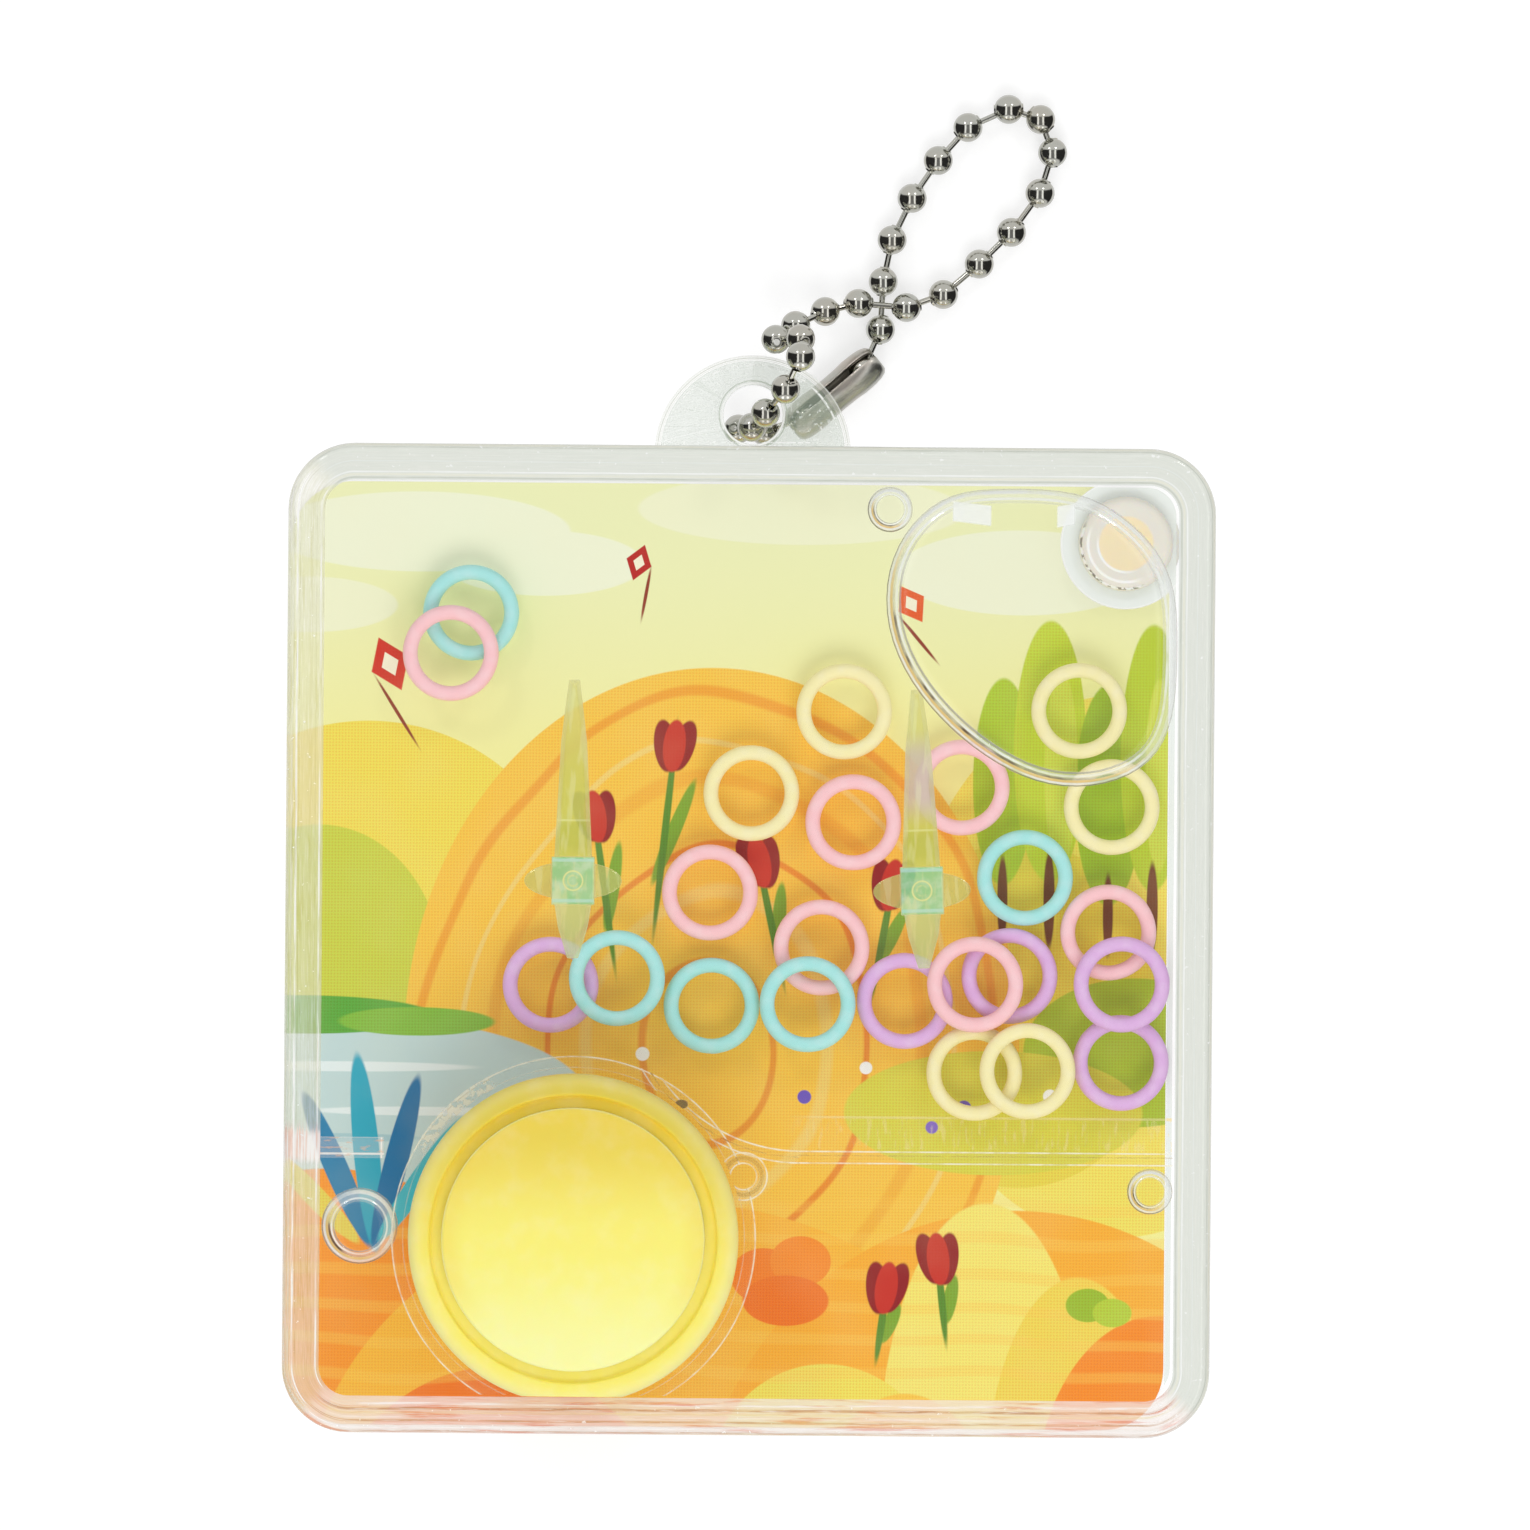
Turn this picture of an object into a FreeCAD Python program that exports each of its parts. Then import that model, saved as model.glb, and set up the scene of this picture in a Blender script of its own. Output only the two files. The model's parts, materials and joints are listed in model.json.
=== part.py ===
import FreeCAD, Part
import math
import os
import re

import Sketcher

# Water game keychain, lying on its back. Millimetres. The origin is the middle of the case's back,
# +Z comes out through the window, +Y points at the hanging tab and +X at the viewer's right.

# Driving dimensions: name, millimetres, what it is
SIZES = [
    ("case_width", 75.0, "outside of the case, side to side"),
    ("case_height", 80.0, "outside of the case, bottom to top, without the tab"),
    ("case_depth", 12.0, "from the table to the raised frame round the window"),
    ("corner_radius", 5.4, "outside corners of the case"),
    ("edge_round", 0.8, "rounding of the outer edges of both shells"),
    ("wall_band", 3.0, "whole wall seen from the front: outer wall, gap and inner lip"),
    ("outer_wall", 1.6, "wall of the front shell"),
    ("lip_gap", 0.1, "play between the front shell's wall and the back shell's lip"),
    ("parting_height", 5.5, "where the two shells meet, above the table"),
    ("card_thickness", 0.3, "picture card glued to the back"),
    ("back_thickness", 1.5, "floor of the back shell"),
    ("window_thickness", 1.2, "clear window of the front shell"),
    ("rim_rise", 0.8, "how far the frame stands above the window"),
    ("card_right_margin", 3.5, "bare back beside the card, on the right; it is flush on the left"),
    ("card_top_margin", 2.95, "bare back above the card"),
    ("card_bottom_margin", 0.25, "bare back below the card"),
    ("card_corner", 5.0, "corners of the picture card"),
    ("card_cutout_radius", 5.3, "round cut-out of the card for the filler plug"),
    ("tab_radius", 7.97, "round top of the hanging tab"),
    ("tab_sink", 0.53, "middle of the tab's round top below the case's top edge"),
    ("tab_leaf", 1.5, "thickness of the tab's half on each shell"),
    ("tab_step", 0.5, "the front half of the tab is smaller by this all round"),
    ("tab_hole_radius", 2.4, "chain hole in the tab"),
    ("tab_hole_web", 0.2, "tab between the case's top and the chain hole"),
    ("pump_in", 20.5, "centre of the pump from the inside of the left wall"),
    ("pump_up", 12.8, "centre of the pump from the inside of the bottom wall"),
    ("well_margin", 0.35, "from the skirt's outside to the inside of the pump well, seen from the front"),
    ("pump_wall", 1.1, "thickness of the round wall and the divider"),
    ("rib_length", 5.2, "short rib left of the pump"),
    ("rib_up", 20.0, "middle of the short rib from the inside of the bottom wall"),
    ("rib_thickness", 1.7, "thickness of the short rib"),
    ("divider_up", 19.5, "middle of the straight divider from the inside of the bottom wall"),
    ("sweep_radius", 14.3, "curve of the divider, from the pump to its straight part"),
    ("sweep_reach", 18.3, "from the pump's centre to where the divider turns straight"),
    ("sweep_turn", 44.0, "degrees that the divider's curve turns"),
    ("jet_angle", 54.0, "degrees round the pump from +X to the jet slot"),
    ("jet_width", 1.6, "width of the jet slot and the two inlet slots"),
    ("jet_height", 3.0, "height of the slots, front to back"),
    ("right_inlet_angle", -20.0, "degrees round the pump to the right inlet slot"),
    ("left_inlet_angle", 200.0, "degrees round the pump to the left inlet slot"),
    ("boss_radius", 2.0, "locating boss beside the pump"),
    ("boss_bore", 1.0, "radius of the hole in the boss"),
    ("boss_reach", 13.7, "boss, right of the pump's centre"),
    ("boss_rise", 5.1, "boss, above the pump's centre"),
    ("guide_gap", 0.1, "play over the water guide, below the window"),
    ("collar_wall", 0.6, "thickness of the front shell's collar, which the skirt grips"),
    ("collar_rise", 1.3, "height of the collar above the window"),
    ("skirt_outer_wall", 0.6, "wall of the button's soft skirt outside the collar"),
    ("skirt_inner_wall", 0.45, "wall of the skirt between the collar and the groove"),
    ("skirt_height", 2.9, "height of the skirt above the window"),
    ("skirt_round", 1.0, "rounding of the skirt's shoulder"),
    ("groove_width", 1.0, "sunk groove between the skirt and the crown"),
    ("groove_depth", 1.5, "how far the groove lies below the skirt's top"),
    ("web_thickness", 0.7, "thin web at the bottom of the groove"),
    ("crown_radius", 10.6, "crown of the button, the part that is pressed"),
    ("crown_rise", 0.9, "edge of the crown above the skirt"),
    ("crown_dome", 0.8, "swell of the crown's top"),
    ("crown_wall", 1.3, "wall of the hollow crown"),
    ("crown_round", 0.6, "rounding of the crown's edge"),
    ("crown_drop", 1.6, "how far the crown's wall reaches below its web"),
    ("soft_gap", 0.1, "gap between the soft pieces"),
    ("ring_outer", 7.8, "outside diameter of a ring"),
    ("ring_section", 1.22, "thickness of a ring's round section"),
    ("ring_layer_gap", 0.3, "gap between a ring and the ring that it lies over"),
    ("rest_gap", 0.02, "loose pieces stand this far off what they lie on"),
    ("peg_in", 20.5, "right peg's middle from the inside of the right wall"),
    ("peg_spacing", 28.3, "from the right peg's middle to the left one's"),
    ("right_peg_up", 41.1, "right peg's middle from the inside of the bottom wall"),
    ("left_peg_up", 41.7, "left peg's middle from the inside of the bottom wall"),
    ("right_peg_lean", 2.0, "degrees that the right peg leans to the left"),
    ("peg_height", 6.0, "middle plane of the pegs above the table"),
    ("spike_length", 16.3, "peg's middle to its upper tip"),
    ("spike_bend", 11.3, "peg's middle to where the spike starts to narrow"),
    ("spike_base_width", 3.1, "width of the spike at the guard"),
    ("spike_bend_width", 2.1, "width of the spike at its bend"),
    ("tip_width", 0.9, "width of the blunt tips"),
    ("tail_length", 6.3, "peg's middle to its lower tip"),
    ("tail_bend", 3.7, "peg's middle to where the tail starts to narrow"),
    ("tail_bend_width", 2.45, "width of the tail at its bend"),
    ("spike_thickness", 2.0, "thickness of the spike, front to back"),
    ("spike_chamfer", 0.4, "bevel on the spike's edges"),
    ("guard_width", 7.9, "oval guard, side to side"),
    ("guard_height", 3.1, "oval guard, bottom to top"),
    ("guard_thickness", 1.0, "oval guard, front to back"),
    ("block_height", 3.9, "block that carries the guard, bottom to top"),
    ("block_thickness", 2.8, "block that carries the guard, front to back"),
    ("post_radius", 0.81, "post that stands in the back shell"),
    ("post_fit", 0.03, "play of the post in its socket"),
    ("socket_depth", 0.9, "depth of the post's socket"),
    ("plug_in", 4.1, "filler plug from the inside of the right wall"),
    ("plug_down", 4.6, "filler plug from the inside of the top wall"),
    ("filler_radius", 3.0, "filling hole in the back shell"),
    ("plug_fit", 0.05, "play of the plug's neck in the hole"),
    ("plug_bulb_radius", 3.85, "inner bulb that holds the plug"),
    ("plug_bulb_height", 1.5, "height of the bulb inside the case"),
    ("plug_head_radius", 4.5, "thin head outside the case"),
    ("plug_head", 0.25, "thickness of the head"),
    ("plug_hollow_radius", 2.2, "hollow in the middle of the plug"),
    ("plug_skin", 0.8, "skin left over the hollow"),
    ("bead_diameter", 2.38, "bead of the ball chain"),
    ("link_diameter", 0.5, "wire between two beads"),
    ("connector_diameter", 3.2, "folded tube that joins the chain's ends"),
    ("connector_sheet", 0.3, "sheet thickness of the connector"),
    ("connector_overhang", 1.55, "connector's end beyond the middle of the bead in it"),
    ("connector_mouth", 1.05, "radius of the hole in each end of the connector"),
    ("connector_slit", 0.7, "slit along the connector"),
]

# Heights above the table, put together from the sizes
FLOOR = "(card_thickness + back_thickness)"
WINDOW_TOP = "(case_depth - rim_rise)"
WINDOW_UNDER = "(case_depth - rim_rise - window_thickness)"
GUIDE_TOP = "(case_depth - rim_rise - window_thickness - guide_gap)"
TAB_LOW = "(parting_height - tab_leaf)"
TAB_HIGH = "(parting_height + tab_leaf)"
SKIRT_TOP = "(case_depth - rim_rise + skirt_height)"
WEB_TOP = "(case_depth - rim_rise + skirt_height - groove_depth)"
SLOT_ROOF = "(case_depth - rim_rise + collar_rise + soft_gap)"
CROWN_EDGE = "(case_depth - rim_rise + skirt_height + crown_rise)"

# Round sizes of the pump, from the crown outwards
GROOVE_RADIUS = "(crown_radius + groove_width)"
SLOT_INSIDE = f"({GROOVE_RADIUS} + skirt_inner_wall)"
COLLAR_INSIDE = f"({SLOT_INSIDE} + soft_gap / 2)"
COLLAR_RADIUS = f"({COLLAR_INSIDE} + collar_wall)"
SLOT_OUTSIDE = f"({COLLAR_RADIUS} + soft_gap / 2)"
SKIRT_RADIUS = f"({SLOT_OUTSIDE} + skirt_outer_wall)"
WELL_RADIUS = f"({SKIRT_RADIUS} + well_margin)"
PUMP_WALL_RADIUS = f"({WELL_RADIUS} + pump_wall)"

# Inside of the case, the middle of the chain hole, and a length that is longer than any piece
INSIDE_WIDTH = "(case_width - 2 * wall_band)"
INSIDE_HEIGHT = "(case_height - 2 * wall_band)"
HOLE_Y = "(case_height / 2 + tab_hole_web + tab_hole_radius)"
LONG = "(case_depth * 3)"

# Places, from the walls that they keep their distance to
LEFT_WALL = f"(-{INSIDE_WIDTH} / 2)"
RIGHT_WALL = f"({INSIDE_WIDTH} / 2)"
BOTTOM_WALL = f"(-{INSIDE_HEIGHT} / 2)"
TOP_WALL = f"({INSIDE_HEIGHT} / 2)"
PUMP_X = f"({LEFT_WALL} + pump_in)"
PUMP_Y = f"({BOTTOM_WALL} + pump_up)"
BOSS_X = f"({PUMP_X} + boss_reach)"
BOSS_Y = f"({PUMP_Y} + boss_rise)"
SWEEP_X = f"({PUMP_X} + sweep_reach)"
DIVIDER_Y = f"({BOTTOM_WALL} + divider_up)"
PLUG_X = f"({RIGHT_WALL} - plug_in)"
PLUG_Y = f"({TOP_WALL} - plug_down)"
PEG_PLACES = {
    "left": (f"({RIGHT_WALL} - peg_in - peg_spacing)", f"({BOTTOM_WALL} + left_peg_up)"),
    "right": (f"({RIGHT_WALL} - peg_in)", f"({BOTTOM_WALL} + right_peg_up)"),
}

# The loose rings as the photograph shows them: colour, count in it, x, y, and whether the ring lies
# over other rings (1) or on the floor (0). A place above 0 counts from the inside of the left or
# bottom wall, and one below 0 from the inside of the right or top wall.
RINGS = [
    ("blue", 1, 11.7, -10.6, 0),
    ("blue", 2, -45.2, 33.8, 1),
    ("blue", 3, -37.5, 31.6, 0),
    ("blue", 4, -29.7, 31.8, 1),
    ("blue", 5, -12.1, 42.2, 0),
    ("pink", 1, 10.1, -13.9, 1),
    ("pink", 2, -26.1, 46.6, 0),
    ("pink", 3, -37.7, 40.8, 0),
    ("pink", 4, -28.6, 36.4, 0),
    ("pink", 5, -17.3, 49.5, 0),
    ("pink", 6, -5.3, 37.8, 0),
    ("pink", 7, -16.1, 33.5, 1),
    ("cream", 1, -26.9, 55.6, 0),
    ("cream", 2, -34.4, 48.9, 0),
    ("cream", 3, -7.8, 55.8, 0),
    ("cream", 4, -5.1, 48.0, 0),
    ("cream", 5, -16.1, 26.3, 0),
    ("cream", 6, -11.8, 26.5, 1),
    ("purple", 1, -50.6, 33.2, 0),
    ("purple", 2, -21.8, 32.1, 0),
    ("purple", 3, -13.3, 34.2, 0),
    ("purple", 4, -4.2, 33.6, 1),
    ("purple", 5, -4.2, 27.2, 0),
]

# The ball chain, bead by bead from the connector's lower end, up through the tab's hole, over in a
# standing arch, round the loop and back to the connector's upper end. The beads' middles: x, height
# above the case's top edge, z
BEADS = [
    (4.3, 2.5, 1.62),
    (0.9, 1.4, 1.3),
    (-1.2, 1.5, 2.6),
    (-0.1, 1.6, 5.5),
    (1.0, 2.7, 8.4),
    (2.6, 4.6, 10.8),
    (3.8, 7.2, 12.8),
    (3.8, 8.7, 9.9),
    (1.8, 8.7, 7.2),
    (3.4, 9.9, 4.6),
    (5.8, 11.1, 2.6),
    (8.5, 11.8, 1.8),
    (12.4, 11.5, 1.8),
    (15.4, 12.6, 1.21),
    (18.3, 15.1, 1.21),
    (20.9, 17.7, 1.21),
    (23.2, 20.9, 1.21),
    (24.2, 24.2, 1.21),
    (23.2, 26.9, 1.21),
    (20.6, 27.7, 1.21),
    (17.3, 26.2, 1.21),
    (14.9, 23.5, 1.21),
    (12.8, 20.4, 1.21),
    (11.2, 17.0, 1.21),
    (10.5, 13.6, 1.21),
    (10.3, 9.7, 1.21),
    (8.9, 6.4, 1.62),
]

doc = FreeCAD.newDocument("water_game_keychain")
sheet = doc.addObject("Spreadsheet::Sheet", "sizes")
for row, (name, millimetres, meaning) in enumerate(SIZES, 1):
    sheet.set(f"A{row}", name)
    sheet.set(f"B{row}", str(millimetres))
    sheet.set(f"C{row}", meaning)
    sheet.setAlias(f"B{row}", name)
doc.recompute()

NAMES = re.compile(r"\b(" + "|".join(name for name, _, _ in SIZES) + r")\b")


def linked(text):
    """An expression on the sizes, as the document's objects write it."""
    return NAMES.sub(r"sizes.\1", text)


def read(text):
    """The number that an expression on the sizes gives."""
    return float(sheet.evalExpression(linked(text)))


def bind(thing, prop, text):
    thing.setExpression(prop, linked(text))


def put(thing, x="0", y="0", z="0"):
    for axis, text in zip("xyz", (x, y, z)):
        if text != "0":
            bind(thing, f"Placement.Base.{axis}", text)
    return thing


def cylinder(name, radius, low, high, x="0", y="0"):
    made = doc.addObject("Part::Cylinder", name)
    bind(made, "Radius", radius)
    bind(made, "Height", f"({high}) - ({low})")
    return put(made, x, y, low)


def box(name, wide, tall, low, high, x="0", y="0"):
    """A box centred on x and y."""
    made = doc.addObject("Part::Box", name)
    bind(made, "Length", wide)
    bind(made, "Width", tall)
    bind(made, "Height", f"({high}) - ({low})")
    return put(made, f"({x}) - ({wide}) / 2", f"({y}) - ({tall}) / 2", low)


def joined(name, *pieces):
    made = doc.addObject("Part::MultiFuse", name)
    made.Shapes = list(pieces)
    return made


def common(name, *pieces):
    made = doc.addObject("Part::MultiCommon", name)
    made.Shapes = list(pieces)
    return made


def cut(name, base, *tools):
    made = doc.addObject("Part::Cut", name)
    made.Base = base
    made.Tool = tools[0] if len(tools) == 1 else joined(name + "_cutters", *tools)
    return made


def new_sketch(body, name, role="XY_Plane"):
    sketch = body.newObject("Sketcher::SketchObject", name)
    plane = next(item for item in body.Origin.OriginFeatures if item.Role == role)
    sketch.AttachmentSupport = [(plane, "")]
    sketch.MapMode = "FlatFace"
    return sketch


def hold(sketch, kind, *where_and_text):
    """Adds a constraint whose size is an expression."""
    *where, text = where_and_text
    number = sketch.addConstraint(Sketcher.Constraint(kind, *where, read(text)))
    bind(sketch, f"Constraints[{number}]", text)


def rounded_rectangle(sketch, wide, tall, corner):
    half_x, half_y, round_by = read(wide) / 2, read(tall) / 2, read(corner)
    flat_x, flat_y = half_x - round_by, half_y - round_by
    ends = [
        ((-flat_x, -half_y), (flat_x, -half_y)),
        ((half_x, -flat_y), (half_x, flat_y)),
        ((flat_x, half_y), (-flat_x, half_y)),
        ((-half_x, flat_y), (-half_x, -flat_y)),
    ]
    centres = [(flat_x, -flat_y), (flat_x, flat_y), (-flat_x, flat_y), (-flat_x, -flat_y)]
    for side, ((start, end), centre) in enumerate(zip(ends, centres)):
        sketch.addGeometry(
            Part.LineSegment(FreeCAD.Vector(*start, 0), FreeCAD.Vector(*end, 0)), False
        )
        circle = Part.Circle(FreeCAD.Vector(*centre, 0), FreeCAD.Vector(0, 0, 1), round_by)
        turned = math.radians(90 * side - 90)
        sketch.addGeometry(Part.ArcOfCircle(circle, turned, turned + math.pi / 2), False)
    for first in range(8):
        sketch.addConstraint(Sketcher.Constraint("Tangent", first, 2, (first + 1) % 8, 1))
    for line, kind in zip((0, 2, 4, 6), ("Horizontal", "Vertical") * 2):
        sketch.addConstraint(Sketcher.Constraint(kind, line))
    for arc in (3, 5, 7):
        sketch.addConstraint(Sketcher.Constraint("Equal", 1, arc))
    sketch.addConstraint(Sketcher.Constraint("Symmetric", 0, 1, 4, 1, -1, 1))
    hold(sketch, "DistanceX", 6, 1, 2, 1, wide)
    hold(sketch, "DistanceY", 0, 1, 4, 1, tall)
    hold(sketch, "Radius", 1, corner)


def rounded_block(name, wide, tall, corner, low, high, x="0", y="0", rounded_end=None):
    """A block with round corners, whose top or bottom edge may be rounded too."""
    body = doc.addObject("PartDesign::Body", name)
    sketch = new_sketch(body, name + "_outline")
    rounded_rectangle(sketch, wide, tall, corner)
    pad = body.newObject("PartDesign::Pad", name + "_pad")
    pad.Profile = sketch
    bind(pad, "Length", f"({high}) - ({low})")
    doc.recompute()
    if rounded_end is not None:
        level = 0.0 if rounded_end == "bottom" else read(f"({high}) - ({low})")
        edges = [
            f"Edge{number}"
            for number, edge in enumerate(pad.Shape.Edges, 1)
            if all(abs(vertex.Point.z - level) < 1e-6 for vertex in edge.Vertexes)
        ]
        rounding = body.newObject("PartDesign::Fillet", name + "_rounding")
        rounding.Base = (pad, edges)
        bind(rounding, "Radius", "edge_round")
        body.Tip = rounding
    return put(body, x, y, low)


def tab_leaf(name, radius, low, high):
    """One half of the hanging tab: round, with its foot inside the case's wall."""
    top = "(case_height / 2)"
    whole = cylinder(name + "_round", radius, low, high, "0", f"{top} - tab_sink")
    keep = box(
        name + "_keep",
        f"4 * ({radius})",
        f"2 * ({radius})",
        low,
        high,
        "0",
        f"{top} + ({radius}) - wall_band / 2",
    )
    return common(name, whole, keep)


def chain_hole(name):
    return cylinder(name, "tab_hole_radius", "0", LONG, "0", HOLE_Y)


# Back shell: floor, thick wall, lip that the front shell drops over, half of the tab, the filling
# hole, the pegs' sockets and the short rib left of the pump
back_block = rounded_block(
    "back_block", "case_width", "case_height", "corner_radius",
    "card_thickness", "parting_height", rounded_end="bottom",
)
back_lip = rounded_block(
    "back_lip",
    "case_width - 2 * (outer_wall + lip_gap)",
    "case_height - 2 * (outer_wall + lip_gap)",
    "corner_radius - outer_wall - lip_gap",
    "parting_height - card_thickness",
    f"{WINDOW_UNDER} - 2 * lip_gap",
)
back_hollow = rounded_block(
    "back_hollow", INSIDE_WIDTH, INSIDE_HEIGHT, "corner_radius - wall_band", FLOOR, LONG
)
rib = box(
    "rib", "rib_length", "rib_thickness", "card_thickness + edge_round", GUIDE_TOP,
    f"rib_length / 2 + {LEFT_WALL} - lip_gap", f"{BOTTOM_WALL} + rib_up",
)
sockets = [
    cylinder(f"socket_{side}", "post_radius + post_fit", f"{FLOOR} - socket_depth", LONG, x, y)
    for side, (x, y) in PEG_PLACES.items()
]
filling_hole = cylinder("filling_hole", "filler_radius", "0", LONG, PLUG_X, PLUG_Y)
back_walls = cut("back_walls", joined("back_outside", back_block, back_lip), back_hollow)
back_with_tab = joined(
    "back_with_tab", back_walls, rib, tab_leaf("back_tab", "tab_radius", TAB_LOW, "parting_height")
)
back_case = cut("back_case", back_with_tab, filling_hole, chain_hole("back_chain_hole"), *sockets)

# Front shell: outer wall, raised frame, window, collar round the pump opening, half of the tab
front_block = rounded_block(
    "front_block", "case_width", "case_height", "corner_radius",
    "parting_height", "case_depth", rounded_end="top",
)
front_hollow = rounded_block(
    "front_hollow",
    "case_width - 2 * outer_wall",
    "case_height - 2 * outer_wall",
    "corner_radius - outer_wall",
    "0",
    WINDOW_UNDER,
)
window_recess = rounded_block(
    "window_recess", INSIDE_WIDTH, INSIDE_HEIGHT, "corner_radius - wall_band", WINDOW_TOP, LONG
)
collar = cylinder(
    "collar", COLLAR_RADIUS, WINDOW_UNDER, f"{WINDOW_TOP} + collar_rise", PUMP_X, PUMP_Y
)
pump_opening = cylinder("pump_opening", COLLAR_INSIDE, "0", LONG, PUMP_X, PUMP_Y)
front_tab = tab_leaf("front_tab", "tab_radius - tab_step", "parting_height", TAB_HIGH)
front_shell = cut("front_shell", front_block, front_hollow, window_recess)
front_case = cut(
    "front_case",
    joined("front_with_collar", front_shell, collar, front_tab),
    pump_opening,
    chain_hole("front_chain_hole"),
)

# Water guide: the pump well's round wall, the divider that rings roll down to the jet, and a boss
pump_round = cylinder("pump_round", PUMP_WALL_RADIUS, FLOOR, GUIDE_TOP, PUMP_X, PUMP_Y)
divider_bar = box(
    "divider_bar", f"{RIGHT_WALL} - {SWEEP_X}", "pump_wall", FLOOR, GUIDE_TOP,
    f"({RIGHT_WALL} + {SWEEP_X}) / 2", DIVIDER_Y,
)


def sweep_part(name, radius):
    made = cylinder(name, radius, FLOOR, GUIDE_TOP, SWEEP_X, f"{DIVIDER_Y} + sweep_radius")
    bind(made, "Angle", "sweep_turn")
    bind(made, "Placement.Rotation.Angle", "270 - sweep_turn")
    return made


divider_sweep = cut(
    "divider_sweep",
    sweep_part("sweep_outside", "sweep_radius + pump_wall / 2"),
    cylinder(
        "sweep_inside", "sweep_radius - pump_wall / 2", "0", LONG,
        SWEEP_X, f"{DIVIDER_Y} + sweep_radius",
    ),
)
boss = cylinder("boss", "boss_radius", FLOOR, GUIDE_TOP, BOSS_X, BOSS_Y)
guide_limits = rounded_block(
    "guide_limits",
    f"{INSIDE_WIDTH} - 2 * guide_gap",
    f"{INSIDE_HEIGHT} - 2 * guide_gap",
    "corner_radius - wall_band",
    "0",
    LONG,
)
guide_walls = common(
    "guide_walls", joined("guide_outline", pump_round, divider_bar, divider_sweep, boss), guide_limits
)
pump_well = cylinder("pump_well", WELL_RADIUS, "0", LONG, PUMP_X, PUMP_Y)
boss_bore = cylinder("boss_hole", "boss_bore", "0", LONG, BOSS_X, BOSS_Y)


def water_slot(name, angle):
    """A slot through the pump's round wall, from the pump's middle outwards."""
    made = doc.addObject("Part::Box", name)
    bind(made, "Length", f"{PUMP_WALL_RADIUS} + pump_wall")
    bind(made, "Width", "jet_width")
    bind(made, "Height", "jet_height")
    put(
        made,
        f"{PUMP_X} + sin({angle} * 1 deg) * jet_width / 2",
        f"{PUMP_Y} - cos({angle} * 1 deg) * jet_width / 2",
        f"{FLOOR} + jet_height / 2",
    )
    bind(made, "Placement.Rotation.Angle", angle)
    return made


water_guide = cut(
    "water_guide",
    guide_walls,
    pump_well,
    boss_bore,
    water_slot("jet_slot", "jet_angle"),
    water_slot("right_inlet", "right_inlet_angle"),
    water_slot("left_inlet", "left_inlet_angle"),
)

# Picture card glued to the back, cut out round the filler plug
card_sheet = rounded_block(
    "card_sheet",
    "case_width - card_right_margin",
    "case_height - card_top_margin - card_bottom_margin",
    "card_corner",
    "0",
    "card_thickness",
    "-card_right_margin / 2",
    "(card_bottom_margin - card_top_margin) / 2",
)
card_cutout = cylinder("card_cutout", "card_cutout_radius", "-case_depth", LONG, PLUG_X, PLUG_Y)
picture_card = cut("picture_card", card_sheet, card_cutout)


def turned_piece(name, points, dome=None):
    """A piece turned about the upright axis, from points of radius and height. The side after the
    point numbered dome is an arc whose centre lies on the axis."""
    body = doc.addObject("PartDesign::Body", name)
    sketch = new_sketch(body, name + "_profile", "XZ_Plane")
    corners = [FreeCAD.Vector(read(radius), read(height), 0) for radius, height in points]
    count = len(points)
    for side in range(count):
        start, end = corners[side], corners[(side + 1) % count]
        if side == dome:
            rise, half = end.y - start.y, start.x - end.x
            centre_y = end.y - (rise**2 + half**2) / (2 * rise)
            circle = Part.Circle(
                FreeCAD.Vector(0, centre_y, 0), FreeCAD.Vector(0, 0, 1), end.y - centre_y
            )
            first = math.atan2(start.y - centre_y, start.x)
            sketch.addGeometry(Part.ArcOfCircle(circle, first, math.pi / 2), False)
        else:
            sketch.addGeometry(Part.LineSegment(start, end), False)
    for side in range(count):
        sketch.addConstraint(Sketcher.Constraint("Coincident", side, 2, (side + 1) % count, 1))
    if dome is not None:
        sketch.addConstraint(Sketcher.Constraint("PointOnObject", dome, 3, -2))
    for side, (radius, height) in enumerate(points):
        if abs(read(radius)) < 1e-9:
            sketch.addConstraint(Sketcher.Constraint("PointOnObject", side, 1, -2))
        else:
            hold(sketch, "DistanceX", -1, 1, side, 1, radius)
        hold(sketch, "DistanceY", -1, 1, side, 1, height)
    turning = body.newObject("PartDesign::Revolution", name + "_turning")
    turning.Profile = sketch
    turning.ReferenceAxis = (sketch, ["V_Axis"])
    turning.Angle = 360
    body.Tip = turning
    doc.recompute()
    return body


def round_edges(body, name, radius, places):
    """Rounds the round edges that have these radii and heights."""
    base = body.Tip
    wanted = [(read(wide), read(height)) for wide, height in places]
    edges = [
        f"Edge{number}"
        for number, edge in enumerate(base.Shape.Edges, 1)
        if len(edge.Vertexes) == 1
        and any(
            abs(edge.Length - 2 * math.pi * wide) < 1e-4
            and abs(edge.Vertexes[0].Point.z - height) < 1e-4
            for wide, height in wanted
        )
    ]
    rounding = body.newObject("PartDesign::Fillet", name)
    rounding.Base = (base, edges)
    bind(rounding, "Radius", radius)
    body.Tip = rounding
    return body


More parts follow.
